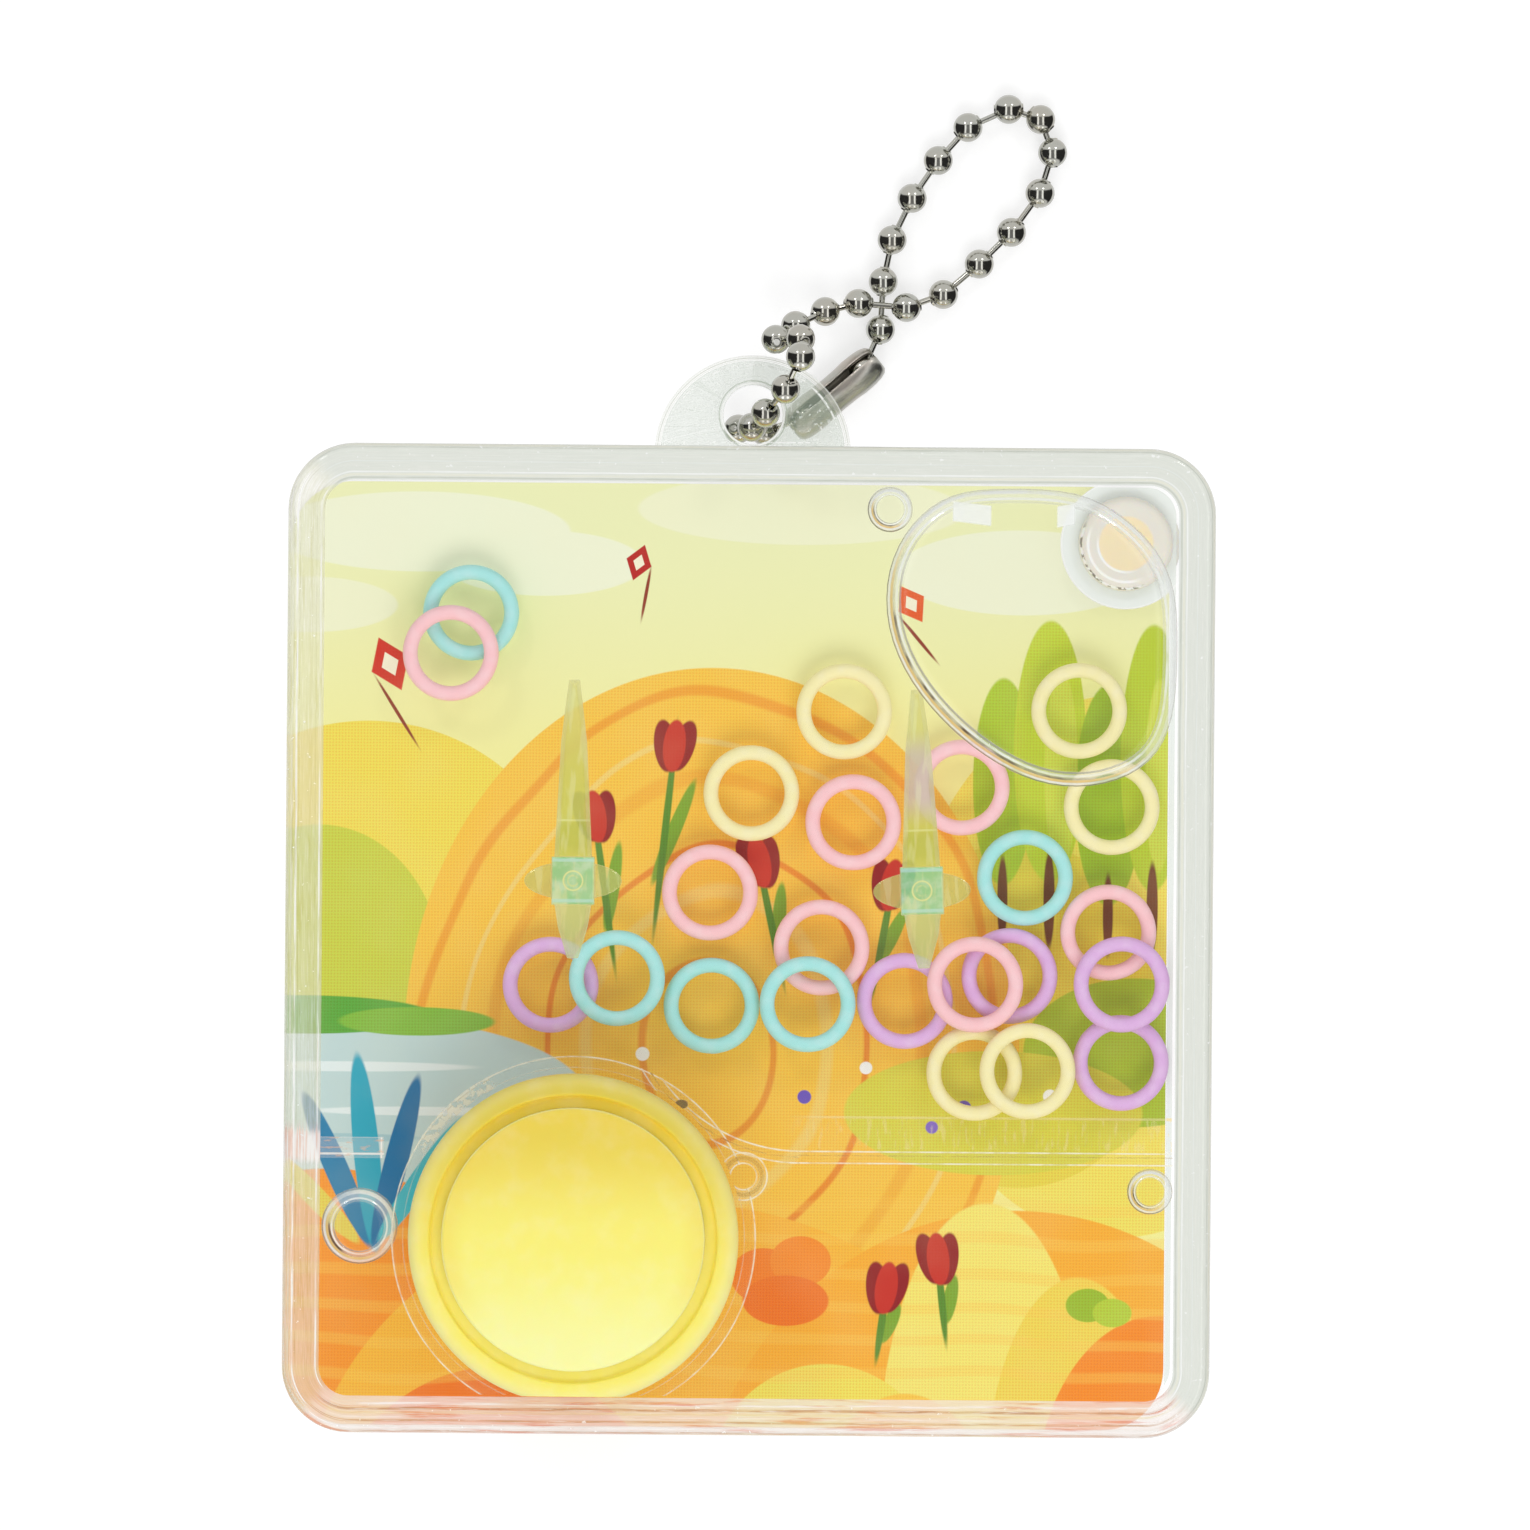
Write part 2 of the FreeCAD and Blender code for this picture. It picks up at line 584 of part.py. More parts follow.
# Pump button: a hollow crown that is pushed in
pump_button = round_edges(
    turned_piece(
        "pump_button",
        [
            ("crown_radius", CROWN_EDGE),
            ("0", f"{CROWN_EDGE} + crown_dome"),
            ("0", f"{CROWN_EDGE} + crown_dome - crown_wall"),
            ("crown_radius - crown_wall", f"{CROWN_EDGE} - crown_wall"),
            ("crown_radius - crown_wall", f"{WEB_TOP} - web_thickness - crown_drop"),
            ("crown_radius", f"{WEB_TOP} - web_thickness - crown_drop"),
        ],
        dome=0,
    ),
    "crown_rounding",
    "crown_round",
    [("crown_radius", CROWN_EDGE)],
)
put(pump_button, PUMP_X, PUMP_Y)

# Button skirt: the soft shoulder that grips the collar, with the sunk web round the crown
skirt_turned = round_edges(
    turned_piece(
        "skirt_turned",
        [
            (SKIRT_RADIUS, WINDOW_TOP),
            (SKIRT_RADIUS, SKIRT_TOP),
            (GROOVE_RADIUS, SKIRT_TOP),
            (GROOVE_RADIUS, WEB_TOP),
            ("crown_radius + soft_gap", WEB_TOP),
            ("crown_radius + soft_gap", f"{WEB_TOP} - web_thickness"),
            (SLOT_INSIDE, f"{WEB_TOP} - web_thickness"),
            (SLOT_INSIDE, SLOT_ROOF),
            (SLOT_OUTSIDE, SLOT_ROOF),
            (SLOT_OUTSIDE, WINDOW_TOP),
        ],
    ),
    "skirt_rounding",
    "skirt_round",
    [(SKIRT_RADIUS, SKIRT_TOP)],
)
put(skirt_turned, PUMP_X, PUMP_Y)
skirt_limits = box(
    "skirt_limits", f"2 * {INSIDE_WIDTH}", f"{INSIDE_HEIGHT} - 2 * soft_gap", "0", LONG
)
button_skirt = common("button_skirt", skirt_turned, skirt_limits)

# Filler plug: thin head outside, neck in the hole, bulb inside, hollow from the back
filler_plug = round_edges(
    turned_piece(
        "filler_plug",
        [
            ("plug_bulb_radius", f"{FLOOR} + plug_bulb_height"),
            ("0", f"{FLOOR} + plug_bulb_height"),
            ("0", f"{FLOOR} + plug_bulb_height - plug_skin"),
            ("plug_hollow_radius", f"{FLOOR} + plug_bulb_height - plug_skin"),
            ("plug_hollow_radius", "card_thickness - plug_head"),
            ("plug_head_radius", "card_thickness - plug_head"),
            ("plug_head_radius", "card_thickness"),
            ("filler_radius - plug_fit", "card_thickness"),
            ("filler_radius - plug_fit", FLOOR),
            ("plug_bulb_radius", FLOOR),
        ],
    ),
    "bulb_rounding",
    "plug_skin",
    [("plug_bulb_radius", f"{FLOOR} + plug_bulb_height")],
)
put(filler_plug, PLUG_X, PLUG_Y)

# Pegs: a flat dagger over an oval guard, on a post that stands in the back shell
SPIKE_OUTLINE = [
    ("tip_width / 2", "spike_length"),
    ("spike_bend_width / 2", "spike_bend"),
    ("spike_base_width / 2", "guard_height / 2"),
    ("spike_base_width / 2", "-guard_height / 2"),
    ("tail_bend_width / 2", "-tail_bend"),
    ("tip_width / 2", "-tail_length"),
]


def peg(name, x, y, lean):
    body = doc.addObject("PartDesign::Body", name + "_spike")
    sketch = new_sketch(body, name + "_outline")
    points = SPIKE_OUTLINE + [(f"-{across}", along) for across, along in reversed(SPIKE_OUTLINE)]
    corners = [FreeCAD.Vector(read(across), read(along), 0) for across, along in points]
    count = len(points)
    for side in range(count):
        line = Part.LineSegment(corners[side], corners[(side + 1) % count])
        sketch.addGeometry(line, False)
    for side in range(count):
        sketch.addConstraint(Sketcher.Constraint("Coincident", side, 2, (side + 1) % count, 1))
    for side, (across, along) in enumerate(points):
        hold(sketch, "DistanceX", -1, 1, side, 1, across)
        hold(sketch, "DistanceY", -1, 1, side, 1, along)
    pad = body.newObject("PartDesign::Pad", name + "_pad")
    pad.Profile = sketch
    bind(pad, "Length", "spike_thickness")
    doc.recompute()
    flat_edges = [
        f"Edge{number}"
        for number, edge in enumerate(pad.Shape.Edges, 1)
        if len({round(vertex.Point.z, 6) for vertex in edge.Vertexes}) == 1
    ]
    bevel = body.newObject("PartDesign::Chamfer", name + "_bevel")
    bevel.Base = (pad, flat_edges)
    bind(bevel, "Size", "spike_chamfer")
    body.Tip = bevel
    put(body, z="peg_height - spike_thickness / 2")
    oval = doc.addObject("Part::Ellipse", name + "_oval")
    bind(oval, "MajorRadius", "guard_width / 2")
    bind(oval, "MinorRadius", "guard_height / 2")
    put(oval, z="peg_height - guard_thickness / 2")
    guard = doc.addObject("Part::Extrusion", name + "_guard")
    guard.Base = oval
    guard.Dir = FreeCAD.Vector(0, 0, 1)
    guard.Solid = True
    bind(guard, "LengthFwd", "guard_thickness")
    block = box(
        name + "_block", "spike_base_width + spike_chamfer", "block_height",
        "peg_height - block_thickness / 2", "peg_height + block_thickness / 2",
    )
    post = cylinder(
        name + "_post", "post_radius", f"{FLOOR} - socket_depth + post_fit", "peg_height"
    )
    made = joined(name, body, guard, block, post)
    if lean != "0":
        bind(made, "Placement.Rotation.Angle", lean)
    return put(made, x, y)


left_peg = peg("left_peg", *PEG_PLACES["left"], "0")
right_peg = peg("right_peg", *PEG_PLACES["right"], "right_peg_lean")

pieces = {
    "back_case": back_case,
    "front_case": front_case,
    "water_guide": water_guide,
    "picture_card": picture_card,
    "pump_button": pump_button,
    "button_skirt": button_skirt,
    "filler_plug": filler_plug,
    "left_peg": left_peg,
    "right_peg": right_peg,
}

# Rings: round-section hoops lying loose in the water
for colour, number, x, y, layer in RINGS:
    name = f"ring_{colour}_{number}"
    hoop = doc.addObject("Part::Torus", name)
    bind(hoop, "Radius1", "(ring_outer - ring_section) / 2")
    bind(hoop, "Radius2", "ring_section / 2")
    put(
        hoop,
        f"{LEFT_WALL if x > 0 else RIGHT_WALL} + ({x})",
        f"{BOTTOM_WALL if y > 0 else TOP_WALL} + ({y})",
    )
    bind(
        hoop,
        "Placement.Base.z",
        f"{FLOOR} + rest_gap + ring_section / 2 + {layer} * (ring_section + ring_layer_gap)",
    )
    pieces[name] = hoop


def above_case(thing, placement):
    """Places a piece of the chain by its height above the case's top edge."""
    thing.Placement = placement
    bind(thing, "Placement.Base.y", f"case_height / 2 + ({placement.Base.y:.6f})")


def compound(name, parts):
    made = doc.addObject("Part::Compound", name)
    made.Links = parts
    return made


# Ball chain: beads, the wires between them and the connector
beads = []
for number, place in enumerate(BEADS, 1):
    bead = doc.addObject("Part::Sphere", f"bead_{number}")
    bind(bead, "Radius", "bead_diameter / 2")
    above_case(bead, FreeCAD.Placement(FreeCAD.Vector(*place), FreeCAD.Rotation()))
    beads.append(bead)
pieces["chain_beads"] = compound("chain_beads", beads)

wires = []
for number, (here, there) in enumerate(zip(BEADS, BEADS[1:]), 1):
    start, end = FreeCAD.Vector(*here), FreeCAD.Vector(*there)
    way = end.sub(start).normalize()
    wire = doc.addObject("Part::Cylinder", f"wire_{number}")
    bind(wire, "Radius", "link_diameter / 2")
    bind(wire, "Height", f"{end.sub(start).Length:.6f} - bead_diameter")
    wire_start = start + way * (read("bead_diameter") / 2)
    above_case(
        wire, FreeCAD.Placement(wire_start, FreeCAD.Rotation(FreeCAD.Vector(0, 0, 1), way))
    )
    wires.append(wire)
pieces["chain_links"] = compound("chain_links", wires)

first_bead, last_bead = FreeCAD.Vector(*BEADS[0]), FreeCAD.Vector(*BEADS[-1])
between = f"{last_bead.sub(first_bead).Length:.6f}"
tube = cylinder(
    "tube_outside", "connector_diameter / 2", "-connector_overhang", f"{between} + connector_overhang"
)
tube_bore = cylinder(
    "tube_bore",
    "connector_diameter / 2 - connector_sheet",
    "connector_sheet - connector_overhang",
    f"{between} + connector_overhang - connector_sheet",
)
tube_mouths = cylinder(
    "tube_mouths", "connector_mouth", "-2 * connector_overhang", f"{between} + 2 * connector_overhang"
)
tube_slit = box(
    "tube_slit", "connector_diameter", "connector_slit",
    "-2 * connector_overhang", f"{between} + 2 * connector_overhang", "-connector_diameter / 2",
)
chain_connector = cut("chain_connector", tube, tube_bore, tube_mouths, tube_slit)
above_case(
    chain_connector,
    FreeCAD.Placement(
        first_bead, FreeCAD.Rotation(FreeCAD.Vector(0, 0, 1), last_bead.sub(first_bead))
    ),
)
pieces["chain_connector"] = chain_connector

doc.recompute()
for thing in doc.Objects:
    if "Invalid" in thing.State or "Error" in thing.State:
        raise RuntimeError(f"{thing.Name} failed: {thing.State}")
os.makedirs("parts", exist_ok=True)
for name, piece in pieces.items():
    piece.Label = name
    if piece.Shape.isNull() or not piece.Shape.isValid():
        raise RuntimeError(f"{name} has no valid shape")
for name, piece in pieces.items():
    piece.Shape.exportStep(f"parts/{name}.step")
    box_of = piece.Shape.BoundBox
    print(
        f"{name}: {len(piece.Shape.Solids)} solids, {piece.Shape.Volume:.1f} mm3,"
        f" x {box_of.XMin:.1f} to {box_of.XMax:.1f}, y {box_of.YMin:.1f} to {box_of.YMax:.1f},"
        f" z {box_of.ZMin:.2f} to {box_of.ZMax:.2f}"
    )
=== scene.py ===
"""Looks of the water game keychain. Laid out as a Blender add-on, and run as a script."""

import json
from functools import cached_property
from math import asin, cos, degrees, radians, sin, tau

import bpy
from bpy.props import FloatProperty, FloatVectorProperty, PointerProperty
from mathutils import Matrix, Vector

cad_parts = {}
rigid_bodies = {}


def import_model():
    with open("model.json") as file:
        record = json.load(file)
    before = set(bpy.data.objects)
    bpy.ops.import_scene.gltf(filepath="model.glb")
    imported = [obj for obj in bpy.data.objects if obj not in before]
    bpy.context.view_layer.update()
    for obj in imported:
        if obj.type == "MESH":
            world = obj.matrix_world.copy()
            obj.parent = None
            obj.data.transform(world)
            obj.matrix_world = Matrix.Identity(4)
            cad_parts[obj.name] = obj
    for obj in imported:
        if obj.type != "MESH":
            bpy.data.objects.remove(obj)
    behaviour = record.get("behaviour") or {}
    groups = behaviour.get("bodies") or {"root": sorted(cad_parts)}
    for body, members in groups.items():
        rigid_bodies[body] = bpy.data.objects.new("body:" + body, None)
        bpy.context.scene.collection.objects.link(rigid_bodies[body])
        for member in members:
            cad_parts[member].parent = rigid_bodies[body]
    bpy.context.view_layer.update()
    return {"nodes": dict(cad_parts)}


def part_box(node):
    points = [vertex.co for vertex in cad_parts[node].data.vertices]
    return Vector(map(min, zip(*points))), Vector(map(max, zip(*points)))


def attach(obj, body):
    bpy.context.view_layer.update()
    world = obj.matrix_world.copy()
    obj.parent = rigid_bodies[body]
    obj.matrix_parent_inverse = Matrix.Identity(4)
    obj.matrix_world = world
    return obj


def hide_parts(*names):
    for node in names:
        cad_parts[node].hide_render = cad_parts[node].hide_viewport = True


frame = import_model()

bl_info = {
    "name": "Water game keychain",
    "version": (1, 0, 0),
    "blender": (4, 5, 0),
    "location": "View3D > Sidebar > Keychain",
    "description": "Builds the looks of a pocket water game on its packed frame",
    "category": "Object",
}

# Places and sizes of the real piece in mm, as in the part's source
MM = 0.001
CASE_HALF = (37.5, 40.0)
CASE_CORNER = 5.4
PUMP = (-14.0, -24.2)
PLUG = (30.4, 32.4)
WINDOW_UNDER = 9.95
WINDOW_TOP = 11.2
FLOOR_TOP = 1.8
SEAM = 5.5
TAB = (0.0, 39.47)
TAB_HOLE = (0.0, 42.6)
BOSS = (-0.3, -19.1)
SWEEP = (4.3, -3.2)
PEG_MIDDLES = {"left_peg": (-14.3, 4.7), "right_peg": (14.0, 4.1)}
PEG_LEANS = {"left_peg": 0.0, "right_peg": 2.0}

# The beads' middles along the chain, as in the part's source: x, height above the case's top
# edge, z
BEADS = [
    (4.3, 2.5, 1.62), (0.9, 1.4, 1.3), (-1.2, 1.5, 2.6), (-0.1, 1.6, 5.5),
    (1.0, 2.7, 8.4), (2.6, 4.6, 10.8), (3.8, 7.2, 12.8), (3.8, 8.7, 9.9),
    (1.8, 8.7, 7.2), (3.4, 9.9, 4.6), (5.8, 11.1, 2.6), (8.5, 11.8, 1.8),
    (12.4, 11.5, 1.8), (15.4, 12.6, 1.21), (18.3, 15.1, 1.21), (20.9, 17.7, 1.21),
    (23.2, 20.9, 1.21), (24.2, 24.2, 1.21), (23.2, 26.9, 1.21), (20.6, 27.7, 1.21),
    (17.3, 26.2, 1.21), (14.9, 23.5, 1.21), (12.8, 20.4, 1.21), (11.2, 17.0, 1.21),
    (10.5, 13.6, 1.21), (10.3, 9.7, 1.21), (8.9, 6.4, 1.62),
]

# Outline of the large air bubble under the window, in mm
BUBBLE_OUTLINE = [
    (20.4, 36.9), (26.6, 36.8), (30.2, 34.7), (32.9, 32.1), (34.6, 28.7), (34.65, 23.4),
    (34.5, 18.1), (32.7, 14.4), (28.8, 12.5), (24.1, 12.4), (19.9, 14.2), (16.0, 17.1),
    (12.7, 20.9), (10.7, 25.3), (10.7, 30.2), (12.7, 34.1), (16.0, 36.6),
]


def rgb(code):
    """A colour such as "f5f8d8" as the linear colour that Blender works in."""

    def linear(part):
        part = part / 255
        return part / 12.92 if part <= 0.04045 else ((part + 0.055) / 1.055) ** 2.4

    return tuple(linear(part) for part in bytes.fromhex(code))


def tint(name, colour, description):
    return FloatVectorProperty(
        name=name, description=description, subtype="COLOR", size=3, min=0, max=1,
        default=rgb(colour),
    )


def span(name, millimetres, description):
    return FloatProperty(
        name=name, description=description, subtype="DISTANCE", unit="LENGTH", min=0,
        default=millimetres * MM, precision=5,
    )


class KeychainSizes(bpy.types.PropertyGroup):
    ring_seam: span("Ring seam", 0.02, "How far the parting line stands out on a ring")
    bead_collar: span("Bead collar", 0.42, "Radius of the rolled collar where a wire enters a bead")
    bead_seam: span("Bead seam", 0.035, "Depth of the seam along each bead")
    bubble_depth: span("Bubble depth", 2.6, "How far the large bubble hangs below the window")
    peg_bevel: span("Peg bevel", 0.12, "Rounding of the pegs' moulded edges")
    print_dots: span("Print dots", 0.36, "Pitch of the printed dots of the picture card")


class KeychainColours(bpy.types.PropertyGroup):
    ring_blue: tint("Blue rings", "aaeae6", "Plastic of the blue rings")
    ring_pink: tint("Pink rings", "ffcace", "Plastic of the pink rings")
    ring_cream: tint("Cream rings", "fcf2b4", "Plastic of the cream rings")
    ring_purple: tint("Purple rings", "e2b4e6", "Plastic of the purple rings")
    # The crown is painted lighter towards the corner and darker towards the jet: its lower colour is painted
    # light and its upper colour painted shade.
    crown_lit_low: tint("Button, lower part", "ffffa8", "Crown of the pump button, near the corner")
    crown_middle: tint("Button, middle", "fff37c", "Crown of the pump button, in its middle")
    crown_shaded_high: tint("Button, upper part", "eed752", "Crown of the pump button, near the jet")
    skirt: tint("Button skirt", "fff074", "Soft skirt round the crown")
    plug_rim: tint("Plug rim", "ece8dc", "Thick rim of the filler plug")
    plug_skin: tint("Plug skin", "ffe9c0", "Thin skin over the plug's hollow")
    plastic: tint("Clear plastic", "e2e6dc", "Veil of the clear plastic where it is thick")
    spike: tint("Peg spike", "ccd254", "Clear lime plastic of the spikes")
    peg_block: tint("Peg block", "80d28e", "Thick block in the middle of a peg")
    nickel: tint("Nickel", "c8c8c0", "Plating of the chain and its connector")
    sky: tint("Printed sky", "f1f4bc", "Sky of the picture card")
    hill: tint("Printed hill", "fcce4c", "Large hill of the picture card")


def sizes():
    return bpy.context.scene.keychain_sizes


def own(name):
    """A colour that the user may change."""
    return tuple(getattr(bpy.context.scene.keychain_colours, name))


class Value:
    """A socket in a material's nodes that takes part in plain arithmetic."""

    def __init__(self, paint, socket):
        self.paint = paint
        self.socket = socket

    def __add__(self, other):
        return self.paint.maths("ADD", self, other)

    __radd__ = __add__

    def __sub__(self, other):
        return self.paint.maths("SUBTRACT", self, other)

    def __rsub__(self, other):
        return self.paint.maths("SUBTRACT", other, self)

    def __mul__(self, other):
        return self.paint.maths("MULTIPLY", self, other)

    __rmul__ = __mul__

    def __truediv__(self, other):
        return self.paint.maths("DIVIDE", self, other)

    def __abs__(self):
        return self.paint.maths("ABSOLUTE", self)

    def ramp(self, low, high):
        """0 at low and beyond it, 1 at high and beyond it, soft between them."""
        settings = {"interpolation_type": "SMOOTHSTEP"}
        return self.paint.node("MapRange", settings, {0: self, 1: low, 2: high})

    def line(self, at, half_width):
        return abs(self - at).ramp(half_width, half_width * 0.35)


class Paint:
    """The nodes of one material or of the world."""

    def __init__(self, name, owner=None):
        self.owner = owner or bpy.data.materials.new(name)
        self.owner.use_nodes = True
        self.tree = self.owner.node_tree
        self.tree.nodes.clear()

    def node(self, kind, settings=None, sockets=None, out=0):
        made = self.tree.nodes.new("ShaderNode" + kind)
        for key, value in (settings or {}).items():
            setattr(made, key, value)
        for key, value in (sockets or {}).items():
            self.feed(made.inputs[key], value)
        return Value(self, made.outputs[out])

    def feed(self, socket, value):
        if isinstance(value, Value):
            self.tree.links.new(value.socket, socket)
        elif socket.type == "RGBA":
            socket.default_value = (*(rgb(value) if isinstance(value, str) else value), 1)
        else:
            socket.default_value = value

    def maths(self, operation, *values, clamp=False):
        settings = {"operation": operation, "use_clamp": clamp}
        return self.node("Math", settings, dict(enumerate(values)))

    def larger(self, *values):
        found = values[0]
        for value in values[1:]:
            found = self.maths("MAXIMUM", found, value)
        return found

    def vector(self, operation, *values, out=0):
        return self.node("VectorMath", {"operation": operation}, dict(enumerate(values)), out)

    def parts(self, vector):
        split = self.node("SeparateXYZ", sockets={0: vector}).socket.node
        return tuple(Value(self, output) for output in split.outputs)

    def together(self, x=0.0, y=0.0, z=0.0):
        return self.node("CombineXYZ", sockets={0: x, 1: y, 2: z})

    def mix(self, factor, first, second, blend="MIX"):
        settings = {"data_type": "RGBA", "blend_type": blend}
        return self.node("Mix", settings, {0: factor, 6: first, 7: second}, out=2)

    def layers(self, colour, *masks):
        """Lays colours over a first one, each where the mask before it shows it."""
        for mask, over in zip(masks[::2], masks[1::2]):
            colour = self.mix(mask, colour, over)
        return colour

    @cached_property
    def place(self):
        """The place on the piece, in mm."""
        metres = self.node("TexCoord", out=3)
        return self.node("VectorMath", {"operation": "SCALE"}, {0: metres, "Scale": 1000.0})

    @cached_property
    def xyz(self):
        return self.parts(self.place)

    def far(self, middle):
        """The distance from an upright axis, in mm."""
        x, y, _ = self.xyz
        return self.length(x - middle[0], y - middle[1])

    def length(self, x, y):
        return self.vector("LENGTH", self.together(x, y), out=1)

    def ring(self, middle, radius, half_width):
        """1 along a circle seen from the front."""
        return self.far(middle).line(radius, half_width)

    def turned_to(self, place, middle, turn, scale):
        """The place as a shape sees it that has its own middle, turn in degrees and size."""
        sockets = {"Vector": place, "Location": (*middle, 0), "Rotation": (0, 0, radians(turn)),
                   "Scale": (*scale, 1)}
        return self.node("Mapping", {"vector_type": "TEXTURE"}, sockets)

    @cached_property
    def facing(self):
        """The parts of the way that the surface faces."""
        return self.parts(self.node("TexCoord", out=1))

    def noise(self, scale, detail=2.0, vector=None, roughness=0.5):
        sockets = {"Vector": vector or self.place, "Scale": scale, "Detail": detail,
                   "Roughness": roughness}
        return self.node("TexNoise", sockets=sockets)

    def streaks(self, x, y, z, detail=3.0):
        return self.noise(1.0, detail, self.together(x, y, z))

    def bump(self, height, strength, distance):
        sockets = {"Strength": strength, "Distance": distance, "Height": height}
        return self.node("Bump", sockets=sockets)

    def surface(self, **sockets):
        names = {key.replace("_", " ").title().replace("Ior", "IOR"): value
                 for key, value in sockets.items()}
        return self.node("BsdfPrincipled", sockets=names)

    def rays(self, *kinds):
        """1 for a ray of each kind that meets the surface."""
        path = self.node("LightPath").socket.node
        return tuple(Value(self, path.outputs[f"Is {kind} Ray"]) for kind in kinds)

    def done(self, shader, kind="Material"):
        output = self.tree.nodes.new("ShaderNodeOutput" + kind)
        self.tree.links.new(shader.socket, output.inputs["Surface"])
        return self.owner


def clear_plastic(paint, veil, colour, gloss=1.0, roughness=0.05):
    """Clear plastic: a mirror-like skin over a veil that hides what is behind it."""
    edge_on = paint.node("LayerWeight", sockets={"Blend": 0.5}, out=1)
    skin = (paint.maths("POWER", edge_on, 5.0) * 0.96 + 0.04) * gloss
    alpha = 1 - (1 - veil) * (1 - skin)
    mirror = paint.maths("DIVIDE", skin, paint.larger(alpha, 0.001), clamp=True)
    shader = paint.surface(
        base_color=paint.mix(mirror, colour, (1, 1, 1)), metallic=mirror, roughness=roughness, ior=1.45
    )
    clear = paint.node("BsdfTransparent")
    return paint.done(paint.node("MixShader", sockets={0: alpha, 1: clear, 2: shader}))


def plain_clear(name, veil, gloss):
    """Clear plastic with nothing to show but its gloss and a faint veil."""
    paint = Paint(name)
    return clear_plastic(paint, veil, own("plastic"), gloss)


# Modelling by hand, in steps

def clear_selection():
    if bpy.context.mode != "OBJECT":
        bpy.ops.object.mode_set(mode="OBJECT")
    bpy.ops.object.select_all(action="DESELECT")


def pick(*things):
    clear_selection()
    for thing in things:
        thing.select_set(True)
    bpy.context.view_layer.objects.active = things[0]
    return things[0]


def remove(thing):
    pick(thing)
    bpy.ops.object.delete()


def select_all():
    bpy.ops.mesh.select_all(action="SELECT")


def edit(thing):
    pick(thing)
    bpy.ops.object.mode_set(mode="EDIT")
    select_all()


def draw(name, points):
    """Draws a line point by point, in mm, and leaves it in edit mode."""
    clear_selection()
    points = [Vector(point) * MM for point in points]
    bpy.ops.mesh.primitive_plane_add(size=MM, location=points[0])
    thing = bpy.context.object
    thing.name = thing.data.name = name
    bpy.ops.object.mode_set(mode="EDIT")
    bpy.ops.mesh.select_mode(type="VERT")
    select_all()
    bpy.ops.mesh.merge(type="CENTER")
    for here, there in zip(points, points[1:]):
        bpy.ops.mesh.extrude_region_move(TRANSFORM_OT_translate={"value": there - here})
    select_all()
    bpy.ops.mesh.remove_doubles(threshold=1e-7)
    return thing


def close_up():
    """Merges what meets and turns the faces outwards, in edit mode."""
    select_all()
    bpy.ops.mesh.remove_doubles(threshold=1e-7)
    bpy.ops.mesh.normals_make_consistent(inside=False)


def settle(thing, angle=35):
    """Leaves edit mode with the piece's place in its mesh and its soft edges smooth."""
    pick(thing)
    bpy.ops.object.transform_apply(location=True, rotation=True, scale=True)
    bpy.ops.object.shade_smooth_by_angle(angle=radians(angle))
    return thing


def turned(name, profile, centre=(0, 0), steps=96):
    """A piece turned about an upright axis, from points of radius and height in mm."""
    points = [(centre[0] + radius, centre[1], height) for radius, height in profile]
    thing = draw(name, points)
    middle = (centre[0] * MM, centre[1] * MM, 0)
    bpy.ops.mesh.spin(steps=steps, angle=tau, center=middle, axis=(0, 0, 1))
    close_up()
    return settle(thing)


def arc(centre, radius, first, last, steps):
    """Points along an arc, from one angle to another."""
    angles = [radians(first + (last - first) * step / steps) for step in range(steps + 1)]
    return [(centre[0] + radius * cos(angle), centre[1] + radius * sin(angle)) for angle in angles]


def modify(thing, kind, **settings):
    modifier = thing.modifiers.new(kind.title(), kind)
    for key, value in settings.items():
        setattr(modifier, key, value)
    pick(thing)
    bpy.ops.object.modifier_apply(modifier=modifier.name)


def copy_of(thing, name):
    """A copy with its own mesh, which no longer rides on what it was copied from."""
    pick(thing)
    bpy.ops.object.duplicate()
    made = bpy.context.object
    bpy.ops.object.parent_clear(type="CLEAR_KEEP_TRANSFORM")
    made.name = made.data.name = name
    for key in list(made.keys()):
        del made[key]
    return made


def merged_copy(node, name, whole=False):
    """A copy of a CAD node whose loose triangles are joined, and made whole faces where wanted."""
    made = copy_of(frame["nodes"][node], name)
    bpy.ops.mesh.customdata_custom_splitnormals_clear()
    edit(made)
    bpy.ops.mesh.remove_doubles(threshold=2e-6)
    if whole:
        bpy.ops.mesh.dissolve_limited(angle_limit=radians(2))
    bpy.ops.mesh.normals_make_consistent(inside=False)
    return settle(made)


def let_light_in(thing):
    """Clear plastic passes the light on, so it casts no shadow and sheds no light."""
    thing.visible_shadow = False
    thing.visible_diffuse = False


def dress(thing, material, body, slot, *nodes):
    thing.data.materials.clear()
    thing.data.materials.append(material)
    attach(thing, body)
    if nodes:
        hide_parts(*nodes)
    return thing


# Paints of the picture card

def oval(paint, place, x, y, wide, tall, turn=0.0, soft=0.12):
    """1 inside an oval, from its middle, half sizes in mm and turn in degrees."""
    local = paint.turned_to(place, (x, y), turn, (wide, tall))
    return paint.vector("LENGTH", local, out=1).ramp(1 + soft / min(wide, tall), 1.0)


def kite(paint, place, x, y, size, turn):
    """1 inside a small diamond."""
    local = paint.turned_to(place, (x, y), turn, (size * 0.7, size))
    across, along, _ = paint.parts(local)
    return (abs(across) + abs(along)).ramp(1.06, 0.98)


